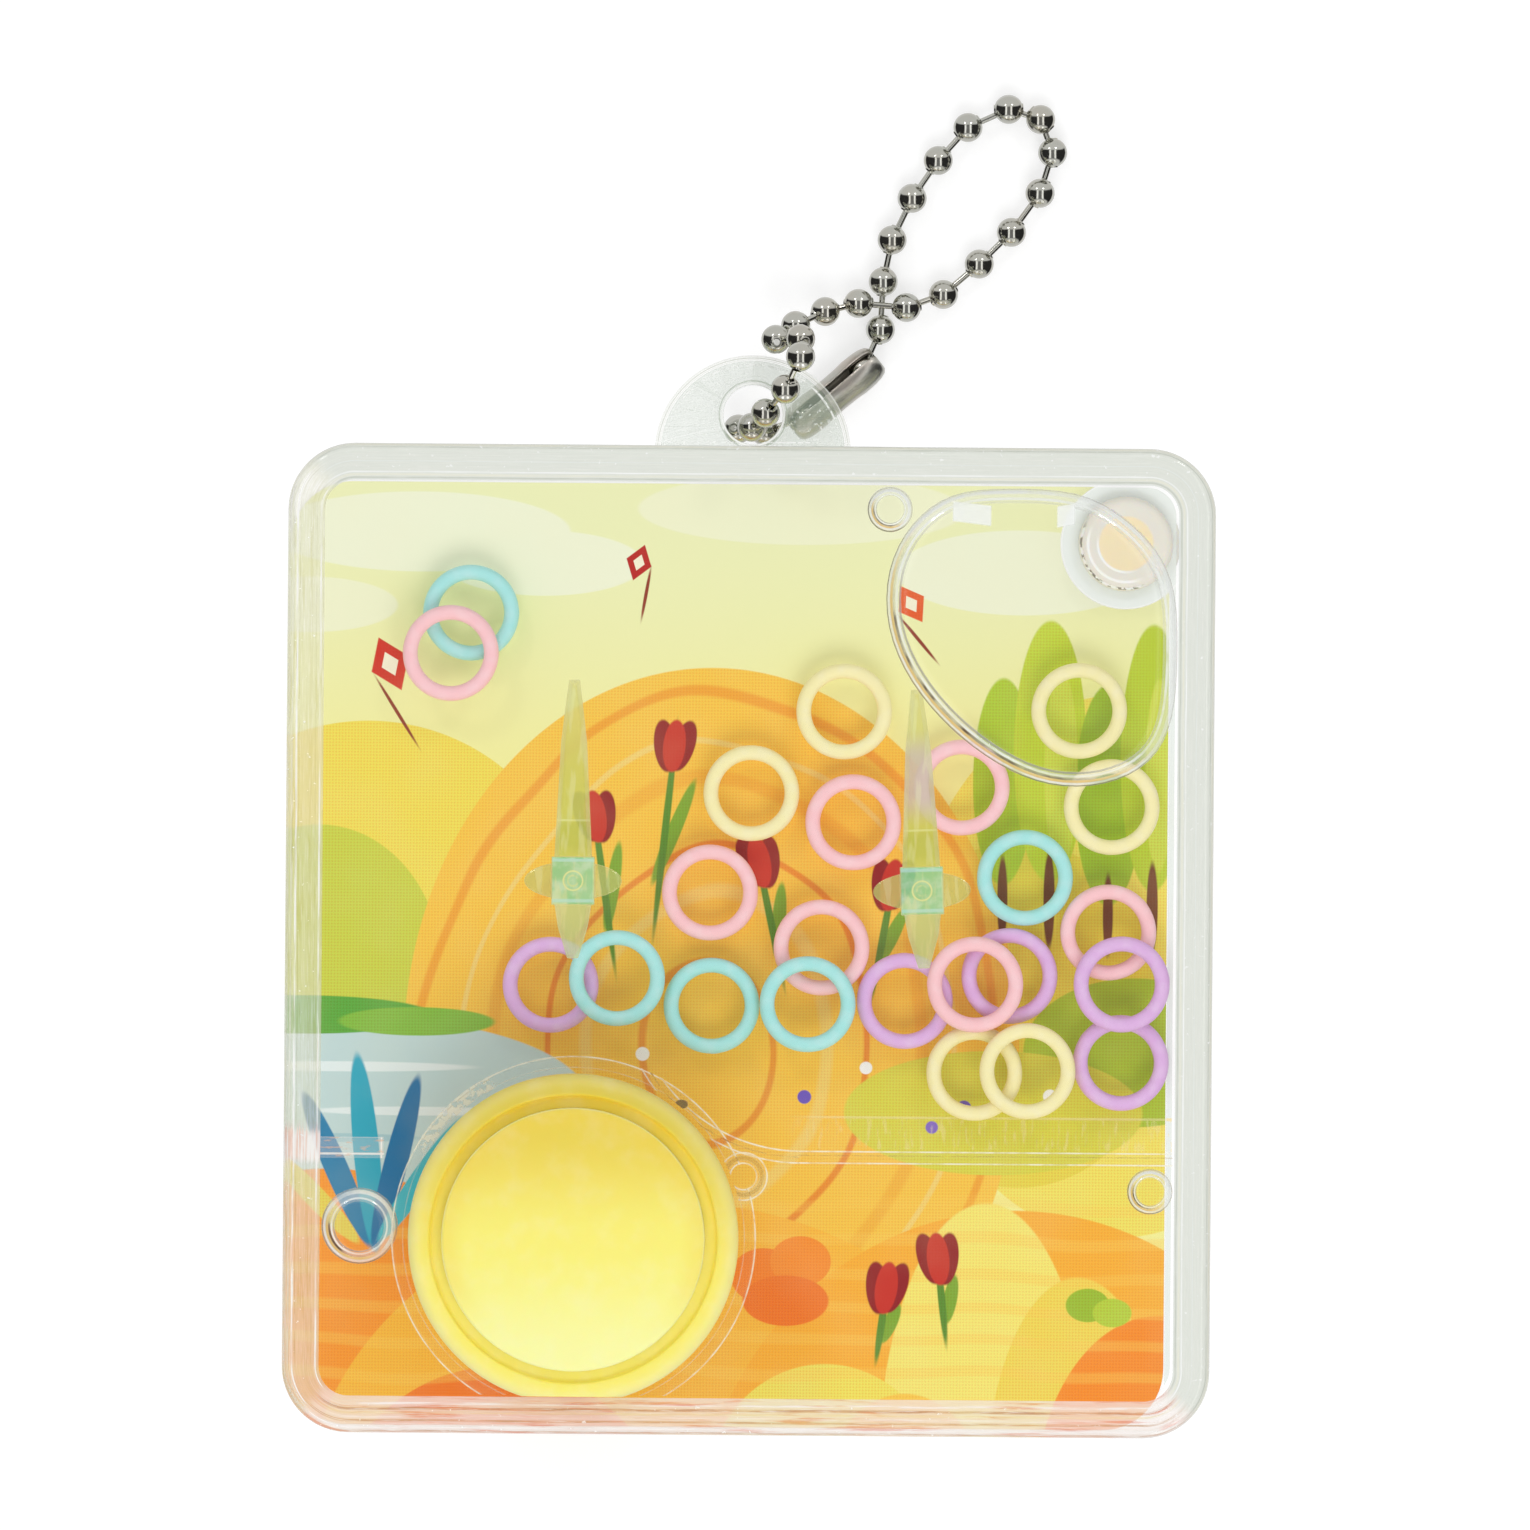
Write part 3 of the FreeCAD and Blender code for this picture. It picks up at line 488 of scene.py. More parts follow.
# Ovals of the print, from the far ones to the near ones: x, y, half width, half height, colour and,
# where it has one, turn
FAR_PRINT = [
    (-27, 33, 12, 3.2, "f5f8d8"), (-17, 30.5, 8, 2.6, "f5f8d8"), (4, 35, 13, 2.8, "f5f7d0"),
    (22, 30, 10, 3.4, "f5f8d8"), (-36, 27, 7, 2.2, "f5f7d0"), (-31, 1, 17, 16.5, "f6e45a"),
    (30, -2, 17, 22, "f6e864"), (-35, -3, 10, 12, "d0da4c"), (22, -6, 12, 14, "ecdc4c"),
]
NEAR_PRINT = [
    (-31, -13.5, 18, 6.8, "c6dedc"), (-33, -10.6, 9, 0.35, "e8f4f2"),
    (-27, -14.2, 7, 0.3, "e8f4f2"), (-34, -16.4, 6, 0.3, "aaced2"),
    (-36, -6.4, 10, 1.5, "60b03e"), (-27, -6.9, 6, 1.1, "88c442"), (31.5, -9, 9, 6, "b2ce36"),
    (20, -14, 12, 5, "dedc4c"),
]
POPLARS = [
    (20.6, 13.0, 2.4, 8.2, "b4d432"), (24.4, 15.5, 2.9, 10.4, "c8de3a"),
    (29.2, 12.0, 2.7, 8.8, "a6ca30"), (32.8, 15.0, 2.6, 10.6, "c0d838"),
    (25.3, 14.0, 1.3, 7.6, "d6e654"), (33.3, 13.6, 1.1, 7.4, "d4e454"),
    (20.6, 3.4, 0.35, 3.0, "784224"), (24.4, 3.4, 0.4, 3.4, "784224"),
    (29.2, 2.2, 0.35, 2.8, "784224"), (32.8, 2.8, 0.4, 3.2, "784224"),
]
REEDS = [
    (-33.4, -19.0, 0.9, 6.4, "1e82b0", 24), (-31.0, -17.6, 1.0, 7.6, "2eacc4", 6),
    (-28.6, -18.4, 0.9, 6.8, "1a74a8", -14), (-26.6, -19.8, 0.8, 5.6, "40bcca", -34),
    (-35.2, -21.2, 0.8, 4.8, "ecdc5c", 44),
]
DUNES = [
    (-34, -46, 22, 27, "fda02e"), (-6, -48, 30, 26.5, "fdc23e"), (22, -50, 26, 28, "fdb836"),
    (-20, -52, 15, 17, "f88222"), (19.5, -43, 8.6, 21.5, "faec76"),
    (27.0, -45, 7.4, 17.5, "f6de58"), (33.6, -46, 10, 15.5, "fc9428"),
    (6.5, -45, 9.6, 10.4, "f6e862"), (13.0, -47, 7.0, 10.0, "fdce4c"),
]
SHRUBS = [
    (1.4, -27.4, 2.6, 2.2, "fa8a24"), (4.4, -26.2, 2.4, 2.0, "fc962c"),
    (3.2, -29.4, 3.4, 2.0, "f67e20"), (27.8, -29.6, 1.7, 1.3, "a0c430"),
    (29.8, -30.2, 1.5, 1.1, "bad63c"),
]
TULIPS = [
    (-12.6, 9.6, 11.0, 8), (-6.2, 15.4, 13.5, -6), (0.8, 6.0, 9.0, 12), (11.6, 4.2, 8.0, -10),
    (15.6, -26.2, 6.0, 6), (11.4, -28.6, 5.2, -8),
]
KITES = [
    (-29.4, 22.2, 2.3, 24, "d62e1c"), (-9.2, 30.6, 1.5, -18, "be201c"),
    (13.0, 27.4, 1.7, 32, "ec6022"),
]
FLOWERS = [
    (17.6, -13.6, 0.55, "7058be"), (15.0, -15.2, 0.45, "8264cc"), (24.6, -12.6, 0.5, "fcfcf8"),
    (-8.6, -9.4, 0.5, "fcfcf8"), (4.6, -12.8, 0.5, "7058be"), (9.6, -10.4, 0.45, "fcfcf8"),
]


def after(paint, place, colour):
    """The same place, off by next to nothing, so that the renderer works out the shapes of a large
    print one after another. It has no room to hold them all at once."""
    return paint.vector("MULTIPLY_ADD", colour, (1e-6, 1e-6, 0), place)


def lay_ovals(paint, place, colour, ovals):
    for x, y, wide, tall, wanted, *turn in ovals:
        mask = oval(paint, after(paint, place, colour), x, y, wide, tall, *turn)
        colour = paint.mix(mask, colour, wanted)
    return colour


def lay_tulips(paint, place, colour):
    """Tall garden flowers, each of a stem, a leaf and a cup of three petals."""
    for x, y, stem, lean in TULIPS:
        turn = radians(lean)
        place = after(paint, place, colour)
        foot_x, foot_y = x + sin(turn) * stem / 2, y - cos(turn) * stem / 2
        leaf = oval(paint, place, foot_x + 0.7, foot_y, 0.5, stem * 0.3, lean - 16)
        colour = paint.mix(leaf, colour, "84b034")
        stalk = oval(paint, place, foot_x, foot_y, 0.24, stem / 2, lean)
        colour = paint.mix(stalk, colour, "609430")
        for aside, wanted in ((-0.75, "96181e"), (0.75, "96181e"), (0.0, "ce3224")):
            petal = oval(paint, place, x + aside, y + 0.3, 0.85, 2.0, lean - aside * 16)
            colour = paint.mix(petal, colour, wanted)
    return colour


def card_print(paint):
    """The printed side: a valley with a lake, poplars, garden flowers and dunes."""
    x, y, _ = paint.xyz
    place = paint.together(x, y)
    high = y.ramp(4.0, 36.0)
    colour = paint.mix(high, "f8f296", own("sky"))
    colour = lay_ovals(paint, place, colour, FAR_PRINT)

    hill = oval(paint, place, -3, -9, 25, 31)
    middle = paint.length((x + 3) / 25, (y + 9) / 31)
    layers = paint.noise(0.05, 1.0, place)
    colour = paint.mix(hill, colour, own("hill"))
    for at, width, wanted in (
        (0.93, 0.02, "f6ae38"), (0.80, 0.012, "f8d878"), (0.70, 0.03, "f8be42"),
        (0.52, 0.014, "f09630"), (0.40, 0.026, "f8d670"), (0.24, 0.016, "f0a034"),
    ):
        band = (middle + (layers - 0.5) * 0.18).line(at, width)
        colour = paint.mix(band * hill, colour, wanted)
    colour = lay_ovals(paint, place, colour, NEAR_PRINT + POPLARS + DUNES)
    ridge = paint.noise(0.16, 2.0, place)
    ripple = paint.node("TexWave", {"bands_direction": "Y"}, {
        "Vector": place, "Scale": 0.11, "Distortion": 5.0, "Detail": 1.0, "Detail Scale": 0.4}, out=1)
    sand = ripple.ramp(0.62, 0.9) * y.ramp(-19.0, -23.0) * 0.35
    colour = paint.mix(sand, colour, "ffd45c")
    colour = lay_tulips(paint, place, colour)
    colour = lay_ovals(paint, place, colour, REEDS + SHRUBS)
    for flag_x, flag_y, size, turn, wanted in KITES:
        place = after(paint, place, colour)
        tail = oval(paint, place, flag_x + 0.6, flag_y - size * 1.7, 0.1, size, turn + 8, 0.08)
        colour = paint.layers(
            colour, tail, "963c28", kite(paint, place, flag_x, flag_y, size, turn), wanted,
            kite(paint, place, flag_x, flag_y, size * 0.45, turn), "faf4d6",
        )
    for dot_x, dot_y, size, wanted in FLOWERS:
        place = after(paint, place, colour)
        colour = paint.mix(oval(paint, place, dot_x, dot_y, size, size), colour, wanted)
    washed = ridge.ramp(0.35, 0.75) * 0.06
    colour = paint.mix(washed, colour, "fcf0be")

    per_mm = tau / (sizes().print_dots / MM)
    dots = paint.maths("SINE", (x + y) * per_mm * 0.7071) * paint.maths("SINE", (x - y) * per_mm * 0.7071)
    blue = paint.node("SeparateColor", sockets={0: colour}, out=2)
    darker = dots.ramp(-0.3, 0.9) * blue.ramp(0.32, 0.12) * 0.5
    return paint.mix(darker, colour, "f6c896", blend="MULTIPLY")


class KEYCHAIN_OT_picture_card(bpy.types.Operator):
    """Prints the card behind the case"""

    bl_idname = "keychain.picture_card"
    bl_label = "Picture card"

    def execute(self, context):
        card = merged_copy("picture_card", "printed_card")
        edit(card)
        clear_selection()
        for point in card.data.vertices:
            point.co.z = min(point.co.z, 0.27 * MM)
        paint = Paint("printed card")
        printed = card_print(paint)
        front = paint.facing[2].ramp(0.4, 0.6)
        fibres = paint.noise(2.2, 4.0)
        paper = paint.mix(fibres, "eeeee8", "f8f8f4")
        shader = paint.surface(
            base_color=paint.mix(front, paper, printed),
            specular_ior_level=0.15,
            roughness=0.45 + (1 - front) * 0.2,
            normal=paint.bump(fibres, 0.15, 0.02 * MM),
        )
        dress(card, paint.done(shader), "case", "picture", "picture_card")
        return {"FINISHED"}


# Painted highlight and shade lines of the clear case, seen from the front, that stand for the light its
# walls bend and reflect: depth from the outer edge, half width, colour, strength
RIGHT_LINES = [
    (0.16, 0.13, "f0efda", 0.80), (0.38, 0.07, "bac0ae", 0.55), (1.70, 0.05, "e8eeea", 0.70),
    (2.70, 0.08, "fcfefc", 0.90), (2.98, 0.13, "eeedd8", 0.70), (3.26, 0.11, "bec4b5", 0.75),
    (3.62, 0.30, "ecf0ee", 0.60),
]
LEFT_LINES = [
    (0.14, 0.10, "d6d6b0", 0.60), (0.48, 0.18, "eeeed4", 0.60), (0.95, 0.14, "fffffc", 0.95),
    (1.20, 0.05, "9e986c", 0.60), (1.72, 0.12, "f0eed8", 0.45), (2.30, 0.20, "cec8a0", 0.40),
    (2.74, 0.06, "b4b086", 0.45), (3.16, 0.12, "fefefa", 0.90), (3.42, 0.04, "aaa67a", 0.45),
]
LOW_LINES = [
    (0.20, 0.12, "c48c62", 0.75), (0.60, 0.18, "fff8f4", 0.80), (0.92, 0.10, "ffece4", 0.70),
    (1.20, 0.13, "ce9c70", 0.85), (1.55, 0.17, "fff6f2", 0.75), (1.95, 0.14, "f4e4b8", 0.75),
    (2.33, 0.17, "c88e62", 0.90), (2.80, 0.17, "fff8f4", 0.90),
]


def case_depth(paint):
    """The distance in from the case's outline, in mm."""
    x, y, _ = paint.xyz
    across = paint.larger(abs(x) - (CASE_HALF[0] - CASE_CORNER), 0.0)
    along = paint.larger(abs(y) - (CASE_HALF[1] - CASE_CORNER), 0.0)
    corner = paint.length(across, along)
    side = paint.maths("MINIMUM", CASE_HALF[0] - abs(x), CASE_HALF[1] - abs(y))
    in_corner = paint.maths("MULTIPLY", across.ramp(0.0, 0.01), along.ramp(0.0, 0.01))
    return side + in_corner * ((CASE_CORNER - corner) - side)


def lay_lines(paint, colour, veil, depth, side, lines, glints):
    for at, half_width, wanted, strength in lines:
        shown = depth.line(at * 0.86, half_width) * side * (glints * strength)
        colour = paint.mix(shown, colour, wanted)
        veil = paint.larger(veil, shown)
    return colour, veil


def frame_paint():
    """The raised frame of the front shell, with painted highlights, painted shade lines and painted bent
    colours of the card, which stand for what its walls show from the front.
    """
    paint = Paint("clear frame")
    x, y, _ = paint.xyz
    depth = case_depth(paint) + (paint.noise(0.12, 2.0) - 0.5) * 0.12
    from_left, from_foot, from_top = CASE_HALF[0] + x, CASE_HALF[1] + y, CASE_HALF[1] - y
    left = (from_left - from_top).ramp(1.5, -1.5) * (from_left - from_foot).ramp(1.0, -1.0)
    left = left * x.ramp(0.0, -5.0)
    low = (from_foot - from_left).ramp(1.0, -1.0) * (from_foot - CASE_HALF[0] + x).ramp(1.5, -1.5)
    pale = paint.maths("SUBTRACT", 1 - left, low, clamp=True)

    along = x + y
    streaks = paint.streaks(along * 0.22, depth * 5.0, 1.0)
    glints = streaks.ramp(0.3, 0.6) * 0.6 + 0.45
    thick = 0.52 * left + 0.66 * low + 0.93 * pale
    veil = paint.larger(thick * (0.86 + streaks * 0.22), 0.4)
    # Painted colours of the card as the walls bend them: yellowish on the left, pinkish at the foot.
    colour = paint.layers(own("plastic"), left, "e4e3c6", low, "faece2")
    # Painted highlight and shade lines along each side.
    colour, veil = lay_lines(paint, colour, veil, depth, pale, RIGHT_LINES, glints)
    colour, veil = lay_lines(paint, colour, veil, depth, left, LEFT_LINES, glints)
    colour, veil = lay_lines(paint, colour, veil, depth, low, LOW_LINES, glints)
    # Painted streaks of bent card colour, and painted highlights in fine threads.
    rosy = paint.noise(0.55, 3.0, paint.together(along * 0.3, depth * 4.0, 7.0)).ramp(0.52, 0.7)
    light_threads = paint.streaks(along * 0.4, depth * 11.0, 12.0, 4.0)
    light_threads = light_threads.ramp(0.50, 0.66) * (1 - pale * 0.8)
    colour = paint.layers(
        colour, rosy * low * 0.75, "e8805c", rosy * left * 0.6, "c4be82",
        light_threads * 0.75, "fffcf6",
    )
    # Painted glints, pink and white, where the rib meets the left wall.
    cross = left * (y + (streaks - 0.5) * 1.6).line(-16.8, 2.2)
    crossing_glint_colour = paint.mix(streaks.ramp(0.4, 0.6), "f4cebc", "fffaf6")
    colour = paint.mix(cross, colour, crossing_glint_colour)
    veil = paint.larger(veil, cross * 0.88)
    # Painted sparkles of light over the frame.
    light_spots = paint.noise(2.4, 3.0).ramp(0.66, 0.74) * depth.ramp(2.9, 2.2)
    colour = paint.mix(light_spots * 0.8, colour, (0.98, 0.99, 0.97))
    return clear_plastic(paint, paint.larger(veil, light_spots * 0.9), colour)


def tab_paint():
    """The hanging tab, pale, with painted highlights and painted shade lines along its edges and round its
    hole, the highlights in sparkling dashes and patches.
    """
    paint = Paint("clear tab")
    x, y, _ = paint.xyz
    from_tab, from_hole = paint.far(TAB), paint.far(TAB_HOLE)
    fine = paint.noise(2.6, 3.0)
    dashes = paint.noise(1.5, 2.0).ramp(0.42, 0.56)
    patches = abs(x).ramp(2.6, 3.6) * y.ramp(44.4, 43.0) * from_tab.ramp(7.3, 6.9)
    # Painted highlights along the tab's edges, round its hole and in patches near the hole.
    rim = paint.larger(
        from_tab.line(7.88, 0.09) * 0.7,
        from_tab.line(7.60, 0.05) * 0.6,
        from_tab.line(7.18, 0.13) * (dashes * 0.8 + 0.15),
        y.line(40.35, 0.09) * dashes,
        from_hole.line(2.52, 0.13),
        from_hole.line(3.15, 0.08) * dashes * 0.7,
        fine.ramp(0.61, 0.66) * patches * 0.8,
    )
    shade = paint.larger(from_tab.line(7.74, 0.06), from_hole.line(2.75, 0.07))
    outer = from_tab.ramp(7.46, 7.5)
    colour = paint.layers(
        "b6c6b0", outer * 0.6, "f4f2e4", shade * 0.5, "bac0b4", rim, (0.98, 0.99, 0.96),
    )
    veil = paint.larger(0.24, rim * 0.92, shade * 0.7)
    return clear_plastic(paint, veil, colour, 0.35)


def stub_paint():
    """The top of the short rib, with light along its edges and in streaks."""
    paint = Paint("clear rib")
    x, y, _ = paint.xyz
    edges = paint.larger(y.line(-16.1, 0.12), y.line(-17.5, 0.14), x.line(-29.6, 0.12))
    streaks = paint.streaks(x * 0.7, y * 3.2, 2.0, 4.0).ramp(0.5, 0.68)
    colour = paint.mix(streaks, "fcf6ee", "f2c4a8")
    return clear_plastic(paint, paint.larger(edges * 0.8, streaks * 0.55, 0.18), colour, 0.3)


def floor_of_case_paint():
    """The back shell's floor: a painted pale veil where no card lies behind it, standing in for the lit
    floor seen through there, and clear in front of the card.
    """
    paint = Paint("clear back floor")
    x, y, _ = paint.xyz
    far = paint.far(PLUG)
    # Painted light: a pale veil where no card lies behind, standing in for the lit floor seen through the
    # back.
    bare = paint.larger(far.ramp(5.34, 5.22), x.ramp(34.0, 34.1), y.ramp(37.05, 37.15))
    edge = far.line(5.25, 0.12)
    cloudy = paint.noise(0.4, 2.0) * 0.1
    colour = paint.mix(edge, "f0f6f0", "fafcf8")
    bars = paint.streaks(x * 2.6, y * 0.5, 4.0).ramp(0.52, 0.66)
    above = y.ramp(-17.1, -16.9) * y.ramp(-14.2, -14.6) * x.ramp(3.0, 7.0)
    ledge = y.line(-14.4, 0.14) * x.ramp(3.0, 7.0)
    faint = paint.larger(bars * above * 0.28, ledge * 0.4)
    colour = paint.mix(faint.ramp(0.0, 0.1), colour, "fceab0")
    return clear_plastic(paint, paint.larger(bare * (0.84 + cloudy), faint), colour, 0.06)


def guide_paint():
    """The water guide's upper edges: fine light and dark lines along its walls."""
    paint = Paint("clear guide edges")
    x, y, _ = paint.xyz
    far = paint.far(PUMP)
    straight = x.ramp(3.9, 4.4)
    above = y.ramp(-18.3, -18.1)
    edges = paint.larger(
        far.line(13.83, 0.07) * 0.4,
        far.line(14.7, 0.09),
        y.line(-17.03, 0.09) * straight,
        y.line(-17.97, 0.09) * straight,
        paint.ring(SWEEP, 13.82, 0.10) * (1 - straight) * above,
        paint.ring(SWEEP, 14.78, 0.10) * (1 - straight) * above,
        paint.ring(BOSS, 1.92, 0.10),
        paint.ring(BOSS, 1.08, 0.10),
    )
    to_jet = paint.length(x + 5.35, (y + 13.3) * 1.4)
    jet_shade = to_jet.ramp(0.62, 0.45)
    shade = paint.larger(
        jet_shade,
        far.line(14.55, 0.06) * 0.4,
        y.line(-17.35, 0.09) * straight,
        paint.ring(SWEEP, 14.3, 0.10) * (1 - straight) * above,
        paint.ring(BOSS, 1.5, 0.3),
    )
    glints = paint.noise(0.7, 3.0).ramp(0.3, 0.6)
    toward = paint.maths("DIVIDE", (y - PUMP[1]) * 0.719 - (x - PUMP[0]) * 0.695, far)
    textured = paint.noise(1.9, 3.0).ramp(0.44, 0.56) * toward.ramp(0.95, 0.97)
    # Painted shade: golden-brown along inner lines of the walls and round the boss, and dark in the jet's
    # notch.
    colour = paint.layers("fcf8e2", shade, "ba9654", jet_shade, "5c5646")
    boss = paint.ring(BOSS, 1.5, 0.3)
    veil = paint.larger(
        edges * (glints * 0.5 + 0.3), shade * glints * 0.35, jet_shade * 0.8, textured * 0.7, boss * 0.4, 0.02
    )
    return clear_plastic(paint, veil, colour, 0.3)


def wall_paint():
    """The case's outer sides, with the edges of the floor, the shells' seam and the window in them."""
    paint = Paint("clear walls")
    x, y, z = paint.xyz
    streaks = paint.streaks((x + y) * 0.2, (x - y) * 0.2, z * 1.5)
    glints = streaks.ramp(0.35, 0.6) * 0.5 + 0.5
    light = paint.larger(
        z.line(0.62, 0.12),
        z.line(FLOOR_TOP + 0.18, 0.08) * 0.8,
        z.line(SEAM + 0.14, 0.08),
        z.line(WINDOW_UNDER + 0.17, 0.10) * 0.7,
        z.line(WINDOW_TOP - 0.1, 0.14),
    )
    shade = paint.larger(
        z.line(0.9, 0.08) * 0.5,
        z.line(FLOOR_TOP, 0.09),
        z.line(SEAM, 0.06),
        z.line(WINDOW_UNDER - 0.01, 0.09),
    )
    colour = paint.layers("ced4c6", light, "fafcf6", shade, "8e9682")
    veil = paint.larger(0.13 + streaks * 0.08, light * glints * 0.75, shade * glints * 0.55)
    return clear_plastic(paint, veil, colour, 0.8)


def finish_faces(thing, materials, kind_of):
    """Gives each face the material that kind_of picks for its corners and the way it faces."""
    thing.data.materials.clear()
    for material in materials:
        thing.data.materials.append(material)
    corners = thing.data.vertices
    for face in thing.data.polygons:
        places = [corners[number].co / MM for number in face.vertices]
        face.material_index = kind_of(places, face.normal)


def is_outer(places):
    """Whether all the corners of a face lie on the case's outer sides, round corners included."""
    return all(
        abs(place.x) > CASE_HALF[0] - 0.3 or abs(place.y) > CASE_HALF[1] - 0.3
        or max(abs(place.x) - CASE_HALF[0] + CASE_CORNER, 0) ** 2
        + max(abs(place.y) - CASE_HALF[1] + CASE_CORNER, 0) ** 2 > (CASE_CORNER - 0.4) ** 2
        for place in places
    )


def front_kind(places, way):
    """0 inside, 1 the window, 2 the frame, 3 the tab, 4 the outer sides."""
    lowest = min(place.z for place in places)
    if way.z > 0.3 and all(place.y > CASE_HALF[1] - 0.1 for place in places) and lowest < 10:
        return 3
    if way.z > 0.05 and lowest > WINDOW_TOP - 0.01 and max(place.z for place in places) > 11.3:
        return 2
    if is_outer(places) and abs(way.z) < 0.9:
        return 4
    return int(way.z > 0.9 and lowest > WINDOW_TOP - 0.1)


def back_kind(places, way):
    """0 inside, 1 the outer sides, 2 the tab's ledge, 3 the rib's top, 4 the floor."""
    if way.z > 0.9 and all(place.y > CASE_HALF[1] - 0.1 for place in places):
        return 2
    if way.z > 0.9 and all(place.x < -29 and -18 < place.y < -16 for place in places):
        return 3
    if way.z > 0.9 and all(abs(place.z - FLOOR_TOP) < 0.2 for place in places):
        return 4
    return int(is_outer(places) and abs(way.z) < 0.9)


class KEYCHAIN_OT_case(bpy.types.Operator):
    """Finishes the clear shells and the water guide inside them"""

    bl_idname = "keychain.case"
    bl_label = "Clear case"

    def execute(self, context):
        inside = plain_clear("clear plastic in water", 0.0, 0.06)
        outside = plain_clear("clear plastic in air", 0.012, 0.8)
        tab, walls = tab_paint(), wall_paint()
        for node, name, slot, kinds, kind_of in (
            ("front_case", "front_shell", "clear_front",
             (inside, outside, frame_paint(), tab, walls), front_kind),
            ("back_case", "back_shell", "clear_back",
             (inside, walls, tab, stub_paint(), floor_of_case_paint()), back_kind),
            ("water_guide", "guide_walls", "clear_guide", (inside, guide_paint()),
             lambda places, way: int(way.z > 0.9 and places[0].z > 9.8)),
        ):
            shell = merged_copy(node, name)
            modify(shell, "WEIGHTED_NORMAL", keep_sharp=True)
            dress(shell, inside, "case", slot, node)
            finish_faces(shell, kinds, kind_of)
            let_light_in(shell)
        return {"FINISHED"}


def soft_plastic(name, colour_of, roughness=0.42, grain=0.05):
    """Moulded soft plastic with a fine grain. colour_of gives its colour from the paint."""
    paint = Paint(name)
    mottle = paint.noise(0.5, 3.0)
    colour = colour_of(paint)
    colour = paint.mix(mottle.ramp(0.4, 0.8) * 0.10, colour, (1.0, 0.98, 0.9))
    grains = paint.noise(9.0, 2.0)
    shader = paint.surface(
        base_color=colour,
        roughness=roughness + (mottle - 0.5) * 0.12,
        normal=paint.bump(grains, 0.25, grain * MM),
        specular_ior_level=0.4,
        subsurface_weight=0.3,
        subsurface_radius=(1.0, 0.7, 0.25),
        subsurface_scale=1.2 * MM,
    )
    return paint.done(shader)


def crown_colour(paint):
    _, y, _ = paint.xyz
    # Painted light and shade: the crown lighter towards the corner, darker towards the jet.
    colour = paint.layers(
        own("crown_lit_low"), y.ramp(-34.0, -24.0), own("crown_middle"),
        y.ramp(-24.5, -15.0), own("crown_shaded_high"),
    )
    far = paint.far(PUMP)
    # Painted shade round the crown's edge, left off on its lower, lit side.
    rim = far.ramp(8.4, 10.5) * y.ramp(-33.0, -27.0)
    colour = paint.mix(rim * 0.35, colour, "f6d64c")
    # Painted light on the crown's side walls, paler against the shade of the groove.
    side = paint.facing[2].ramp(0.92, 0.5)
    return paint.mix(side * 0.7, colour, "fffaaa")


def skirt_colour(paint):
    _, y, _ = paint.xyz
    far = paint.far(PUMP)
    # Painted shade: the skirt darker towards the top, away from the light.
    towards_shade = y.ramp(-30.0, -11.5)
    colour = paint.mix(towards_shade, own("skirt"), "decb4e")
    # Painted light and shade in the groove: lighter at the bottom, darker golden at the top.
    groove = far.ramp(11.9, 11.5)
    in_groove = paint.mix(towards_shade, "ffef78", "f8dc4e")
    colour = paint.mix(groove, colour, in_groove)
    # Paler towards the thin outer edge, where the translucent plastic is thin, and painted light as well:
    # more so on the lower, lit side.
    pale = far.ramp(11.8, 13.4) * (1 - towards_shade * 0.5)
    return paint.mix(pale * 0.55, colour, "faf2b4")


class KEYCHAIN_OT_button(bpy.types.Operator):
    """Turns the pump button's crown and the skirt that it slides in"""

    bl_idname = "keychain.button"
    bl_label = "Pump button"

    def execute(self, context):
        dome = arc((0, -54.6), 70.4, 81.53, 90, 12)
        crown = turned(
            "button_crown",
            [
                (0.0, 14.5),
                (6.0, 14.3),
                (9.3, 13.7),
                (9.3, 10.3),
                (10.5, 10.3),
                (10.63, 10.45),
                *arc((10.33, 14.735), 0.3, 0, 81.5, 8),
                *dome[1:],
            ],
            PUMP,
            128,
        )
        dress(crown, soft_plastic("button crown", crown_colour), "pump_button", "soft_yellow", "pump_button")

        profile = [
            (13.35, 11.2), *arc((12.35, 13.1), 1.0, 0, 90, 10),
            *arc((11.9, 13.8), 0.3, 90, 180, 5), *arc((11.25, 13.8), 0.35, 0, -90, 5),
            (10.64, 13.45), (10.64, 11.9), (12.05, 11.9), (12.05, 12.58), (12.75, 12.58),
            (12.75, 11.2), (13.35, 11.2),
        ]
        skirt = turned("button_skirt_soft", profile, PUMP, 128)
        edit(skirt)
        bpy.ops.mesh.bisect(
            plane_co=(0, -36.9 * MM, 0), plane_no=(0, -1, 0), use_fill=True, clear_outer=True,
            threshold=1e-7,
        )
        close_up()
        settle(skirt)
        dress(skirt, soft_plastic("button skirt", skirt_colour), "case", "soft_yellow", "button_skirt")
        return {"FINISHED"}


